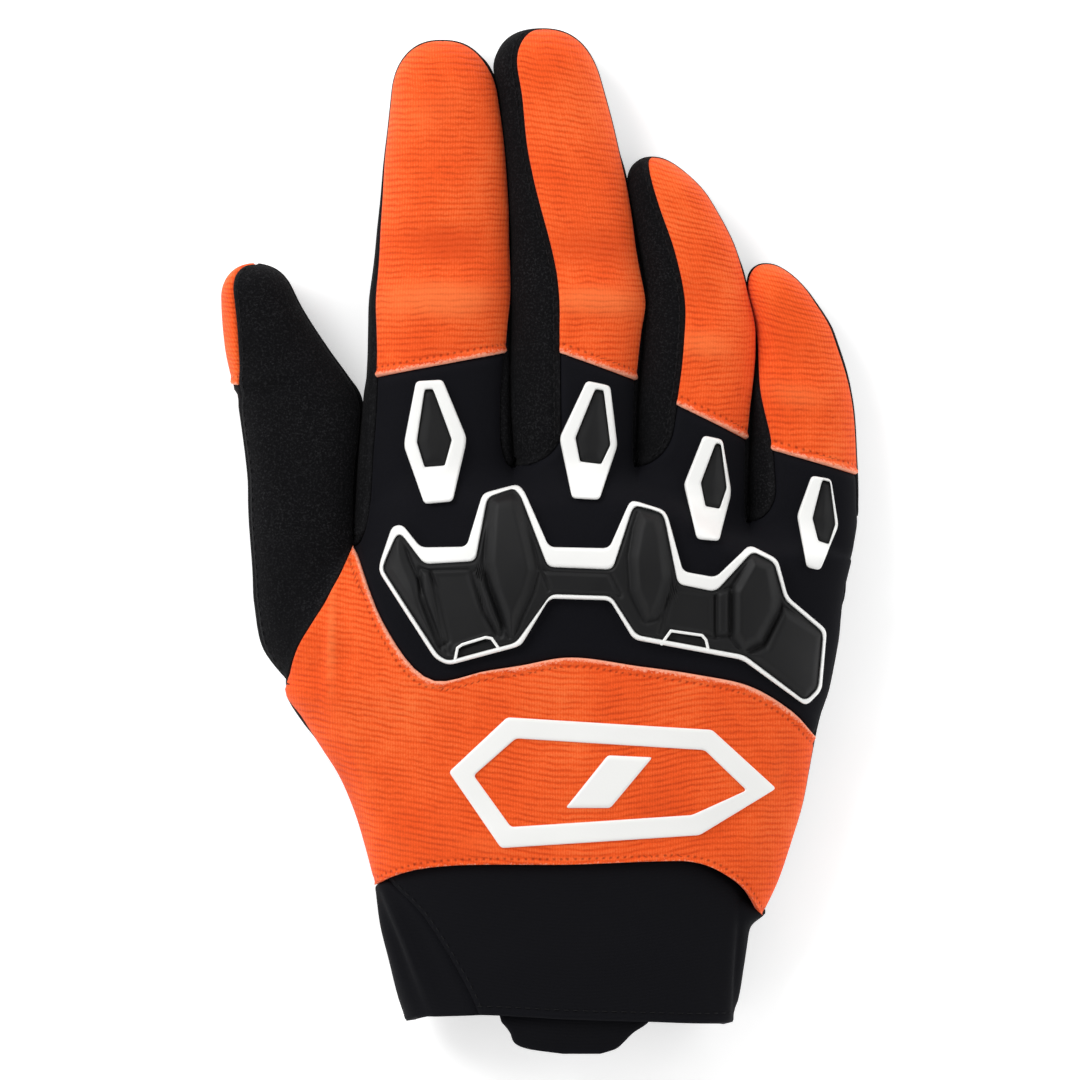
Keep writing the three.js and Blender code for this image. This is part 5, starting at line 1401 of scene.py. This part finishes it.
class GLOVE_OT_guard(bpy.types.Operator):
    """Moulded knuckle guard with bevelled plates and the white line round it"""
    bl_idname = "glove.guard"
    bl_label = "Knuckle guard"

    def execute(self, context):
        outer, inner = (rounded(photo_mm(np.stack([TRIM[a], TRIM[b]], axis=1)), 1.5)
                        for a, b in (("ox", "oy"), ("ix", "iy")))
        ribbon("guard_line", outer, inner, sizes().trim_height, ["guard_trim"])
        # The guard fills the line from its left end to its right, between its two ways round
        left, right = inner[:, 0].argmin(), inner[:, 0].argmax()
        loop = np.roll(inner, -left, axis=0)
        cut = (right - left) % len(inner)
        ways = [loop[:cut + 1], np.concatenate([loop[cut:], loop[:1]])[::-1]]
        t = mix(np.linspace(0, 1, 281), crowd(280), 0.35)
        x = mix(inner[left, 0], inner[right, 0], t)
        ends = [np.interp(x, np.maximum.accumulate(w[:, 0]), w[:, 1]) for w in ways]
        y = mix(ends[0][:, None], ends[1][:, None], crowd(90)[None])
        x = x[:, None] + 0 * y
        edge = inside_by(x, y, inner)
        rise = sizes().guard_height * mix(0.75, 1.0, ease(edge / 0.9))
        for height, bevel, corners in PLATES:
            deep = inside_by(x, y, photo_mm(corners))
            rise = rise + height * ease((deep + 0.2 * bevel) / bevel)
            # A crease runs round each plate where the mould has its undercut
            rise = rise - 0.55 * np.exp(-((deep + 0.45) / 0.42) ** 2) * ease((edge - 0.6) / 0.8)
        for corners in SLITS:
            deep = inside_by(x, y, photo_mm(corners))
            rise = rise - 0.9 * ease((deep + 0.1) / 0.4)
        solid_sheet("guard_body", x, y, rise, rise + 0.3, "moulded_rubber", ["guard"])
        for i, corners in enumerate(SLITS):
            ribbon_open("guard_slit_%d" % i, photo_mm(corners), 0.32,
                        sizes().guard_height + 0.35)
        return {"FINISHED"}


def ribbon_open(name, path, half, height):
    """A thin white line on the guard along an open path, each corner moved along its own
    bisector by half the line's width."""
    d = unit(np.diff(path, axis=0))
    n = np.stack([-d[:, 1], d[:, 0]], axis=1)
    corner = np.concatenate([n[:1], n[:-1] + n[1:], n[-1:]])
    scale = np.concatenate([[1], 1 + (n[:-1] * n[1:]).sum(axis=1), [1]])[:, None]
    both = np.concatenate([path + corner / scale * half, path - corner / scale * half], axis=1)
    both = walk(both, np.linspace(0, run_of(both)[-1], 90))
    u = crowd(6)[None, :, None]
    xy = mix(both[:, None, :2], both[:, None, 2:], u)
    rise = height - 0.25 * (2 * u[..., 0] - 1) ** 4 + 0 * xy[..., 0]
    solid_sheet(name, xy[..., 0], xy[..., 1], rise, 1.6, "moulded_white")


def plate(name, outline, height, crown, cloth, nodes):
    """A low plate filled from its outline to its middle, with a round edge and a slight
    crown."""
    line = dense(outline, 0.5)
    u = np.sin(np.pi / 2 * np.arange(17) / 16)[None, :, None]
    xy = mix(line[:, None], line.mean(axis=0), u)
    x, y = xy[..., 0], xy[..., 1]
    deep = inside_by(x, y, line)
    rise = height * mix(0.3, 1.0, dome(deep / 0.4)) + crown * ease(deep / 2.5)
    solid_sheet(name, x, y, rise, rise + 0.2, cloth, nodes, True)


class GLOVE_OT_pads(bpy.types.Operator):
    """White pad frames over the finger roots, each with a dark insert"""
    bl_idname = "glove.pads"
    bl_label = "Finger pads"

    def execute(self, context):
        tall = sizes().pad_height
        for name, (outer, inner) in PAD_SHAPES.items():
            line = dense(rounded(photo_mm(outer), 0.9), 0.45)
            hole = photo_mm(inner)
            centre = hole.mean(axis=0)
            ring = dense(rounded(hole, 0.35), 0.2)
            # Each point of the outer edge is matched with the hole along its own direction
            a, b = (np.arctan2(*(p - centre).T[::-1]) for p in (line, ring))
            order = np.argsort(b)
            radius = np.interp(a, b[order], np.hypot(*(ring - centre).T)[order],
                               period=2 * np.pi)
            match = centre + radius[:, None] * np.stack([np.cos(a), np.sin(a)], axis=1)
            ribbon("pad_rim_" + name, line, match, tall, ["pad_frame_" + name])
            plate("pad_fill_" + name, match, tall * 0.55, 0.35, "moulded_rubber",
                  ["pad_insert_" + name])
        return {"FINISHED"}


# Print: an open blade and a slash, x in finger pitches and y a share of the hand's length
BLADE = ([(-0.92, 0.27), (-0.45, 0.4), (1.2, 0.37), (1.72, 0.23), (1.1, 0.12), (-0.5, 0.09)],
         [(-0.72, 0.262), (-0.38, 0.35), (1.14, 0.322), (1.48, 0.226), (1.04, 0.168),
          (-0.42, 0.14)])
SLASH = [(0.02, 0.185), (0.36, 0.31), (0.72, 0.305), (0.38, 0.185)]


class GLOVE_OT_print(bpy.types.Operator):
    """Raised white print on the back of the hand"""
    bl_idname = "glove.print"
    bl_label = "Print"

    def execute(self, context):
        size, tall = np.array([PITCH, HAND_LENGTH]), sizes().print_height
        outer, inner = (rounded(np.array(p) * size, 0.8) for p in BLADE)
        ribbon("print_blade", outer, inner, tall, ["print_frame"], sink=-0.2)
        plate("print_bar", rounded(np.array(SLASH) * size, 0.6), tall, 0.0, "moulded_white",
              ["print_slash"])
        return {"FINISHED"}


def stitches(name, patch, share, inward, field, thick, slot):
    """Arched stitches along a line a few millimetres inside one edge of a patch. Each one is a
    round section carried along half a wave, all worked out together. The share names the axis
    of the patch, its edge and the line that shows the way in."""
    pitch = sizes().stitch_pitch
    axis, first, second = share
    lines = patch if axis == 0 else patch.transpose(1, 0, 2)
    line = settle(field, lines[first] + unit(lines[second] - lines[first]) * inward)
    normals = unit(slope_of(field, line))
    line = line + normals * relief(line)[:, None]
    whole = run_of(line)[-1]
    count = max(int(whole / pitch), 2)
    s = (np.arange(count) + 0.5) * pitch
    at = walk(line, s)
    ahead = unit(walk(line, np.minimum(s + 0.2, whole)) - at)
    run = run_of(line)
    up = unit(np.stack([np.interp(s, run, normals[:, c]) for c in range(3)], axis=1))
    side = np.cross(ahead, up)
    steps, corners = 6, 6
    t = np.linspace(-1, 1, steps)[:, None]
    ring = (np.arange(corners) * 2 * np.pi / corners)[:, None]
    core = at[:, None] + ahead[:, None] * t * pitch * 0.36 + up[:, None] * thick * (
        1 - 1.7 * t ** 4)
    around = side[:, None] * np.cos(ring) + up[:, None] * np.sin(ring)
    radius = thick / 2 * np.sqrt(np.clip(1.05 - t ** 6, 0.05, 1))
    p = core[:, :, None] + radius[:, None] * around[:, None]
    a = np.arange(steps - 1)[:, None] * corners
    b = np.arange(corners)[None]
    c = (b + 1) % corners
    face = np.stack([a + b, a + c, a + corners + c, a + corners + b], axis=-1).reshape(-1, 4)
    caps = np.array([[3, 2, 1, 0], [5, 4, 3, 0], [30, 31, 32, 33], [30, 33, 34, 35]])
    shift = (np.arange(count) * steps * corners)[:, None, None]
    quads = np.concatenate([(f[None] + shift).reshape(-1, 4) for f in (face, caps)])
    add_mesh(name, p.reshape(-1, 3), quads, np.empty((0, 3), int), "thread_black", slot=slot)


class GLOVE_OT_stitching(bpy.types.Operator):
    """Black thread along the finger bands, the thumb and the cuff"""
    bl_idname = "glove.stitching"
    bl_label = "Stitching"

    def execute(self, context):
        across = np.linspace(0, 1, 9)
        for k in (1, 2):
            patch = finger_band(k, -1, spread([0.6, 3, 6, 9.2], [16, 60, 30]), across)
            stitches("stitch_" + FINGERS[k]["name"], patch, (1, 0, 1), 1.3, BODIES[k], 0.24,
                     "suede")
        patch = thumb_panel("top", spread([0.5, 4, 8, 11, 14.2], [30, 30, 36, 24]), across)
        stitches("stitch_thumb", patch, (1, 0, 1), 1.5, thumb_body, 0.24, "suede")
        patch = cuff_panel("top", spread([0, CUFF_ROWS], [60]), 60)
        for name, share, inward in (("hem", (0, 60, 57), 2.2), ("gusset", (1, 0, 1), 1.2)):
            stitches("stitch_cuff_" + name, patch, share, inward, cuff_body, 0.22, "neoprene")
        return {"FINISHED"}


class GLOVE_OT_stage(bpy.types.Operator):
    """Pale floor, soft studio light and the camera straight over the glove"""
    bl_idname = "glove.stage"
    bl_label = "Stage"

    def execute(self, context):
        scene = context.scene
        # A light table: the paper glows through, so shadows on it stay faint
        material, tree, _ = new_material("studio_paper_white")
        grain = add(tree, "TexNoise", Scale=900.0, Detail=2.0)
        shade = add(tree, "Mix", grain, _6=linear("#F7F7F7"), _7=linear("#F1F1F1"),
                    data_type="RGBA").outputs[2]
        add(tree, "OutputMaterial", add(
            tree, "BsdfPrincipled", Base_Color=shade, Roughness=0.9, Specular_IOR_Level=0.1,
            Emission_Color=(1, 1, 1, 1), Emission_Strength=0.45))
        half, under = 4.0, -0.0002
        mesh = bpy.data.meshes.new("floor")
        mesh.from_pydata([(x * half, y * half, under)
                          for x, y in ((-1, -1), (1, -1), (1, 1), (-1, 1))], [], [(0, 1, 2, 3)])
        mesh.materials.append(material)
        floor = bpy.data.objects.new("floor", mesh)
        scene.collection.objects.link(floor)
        # A round light tent with a dark opening straight above, where the camera looks in
        world = bpy.data.worlds.new("studio")
        world.use_nodes = True
        tent = world.node_tree
        up = add(tent, "SeparateXYZ", add(tent, "TexCoord").outputs["Generated"]).outputs["Z"]
        level = add(tent, "MapRange", up, 0.62, 0.9, 1.15, 0.05, interpolation_type="SMOOTHSTEP")
        tent.links.new(level.outputs[0], tent.nodes["Background"].inputs[1])
        tent.nodes["Background"].inputs[0].default_value = (1, 1, 1, 1)
        scene.world = world
        for name, spot, size, power in (("key", (-0.75, 0.65, 0.75), 0.6, 9.0),
                                        ("fill", (0.9, 0.2, 0.6), 0.8, 2.0)):
            lamp = bpy.data.lights.new(name, "AREA")
            lamp.size, lamp.energy = size, power
            obj = bpy.data.objects.new(name, lamp)
            obj.location = spot
            gaze = np.array(spot) / np.linalg.norm(spot)
            obj.rotation_euler = (math.acos(gaze[2]), 0, math.atan2(gaze[0], -gaze[1]))
            scene.collection.objects.link(obj)
        data = bpy.data.cameras.new("camera")
        data.lens, data.sensor_width, data.clip_end = 400, 36, 20
        camera = bpy.data.objects.new("camera", data)
        pixel = PHOTO_MM * 0.001
        away = 1080 * pixel * data.lens / data.sensor_width
        camera.location = (1.5 * pixel, -0.5 * pixel, away + 0.012)
        scene.collection.objects.link(camera)
        scene.camera = camera
        scene.view_settings.view_transform = "Standard"
        return {"FINISHED"}


class GLOVE_PT_panel(bpy.types.Panel):
    """Sizes, colours and the steps that dress the glove"""
    bl_label = "Glove"
    bl_idname = "GLOVE_PT_panel"
    bl_space_type = "VIEW_3D"
    bl_region_type = "UI"
    bl_category = "Glove"

    def draw(self, context):
        for group in (context.scene.glove_sizes, context.scene.glove_colours):
            for key in type(group).__annotations__:
                self.layout.prop(group, key)
        for step in STEPS:
            self.layout.operator(step.bl_idname)


STEPS = (GLOVE_OT_knit, GLOVE_OT_knuckles, GLOVE_OT_suede, GLOVE_OT_cuff, GLOVE_OT_guard,
         GLOVE_OT_pads, GLOVE_OT_print, GLOVE_OT_stitching, GLOVE_OT_stage)
CLASSES = (GloveSizes, GloveColours, *STEPS, GLOVE_PT_panel)


def register():
    for item in CLASSES:
        bpy.utils.register_class(item)
    bpy.types.Scene.glove_sizes = bpy.props.PointerProperty(type=GloveSizes)
    bpy.types.Scene.glove_colours = bpy.props.PointerProperty(type=GloveColours)


def unregister():
    del bpy.types.Scene.glove_sizes, bpy.types.Scene.glove_colours
    for item in reversed(CLASSES):
        bpy.utils.unregister_class(item)


def main():
    register()
    for step in STEPS:
        group, name = step.bl_idname.split(".")
        getattr(getattr(bpy.ops, group), name)()


if __name__ == "__main__":
    main()
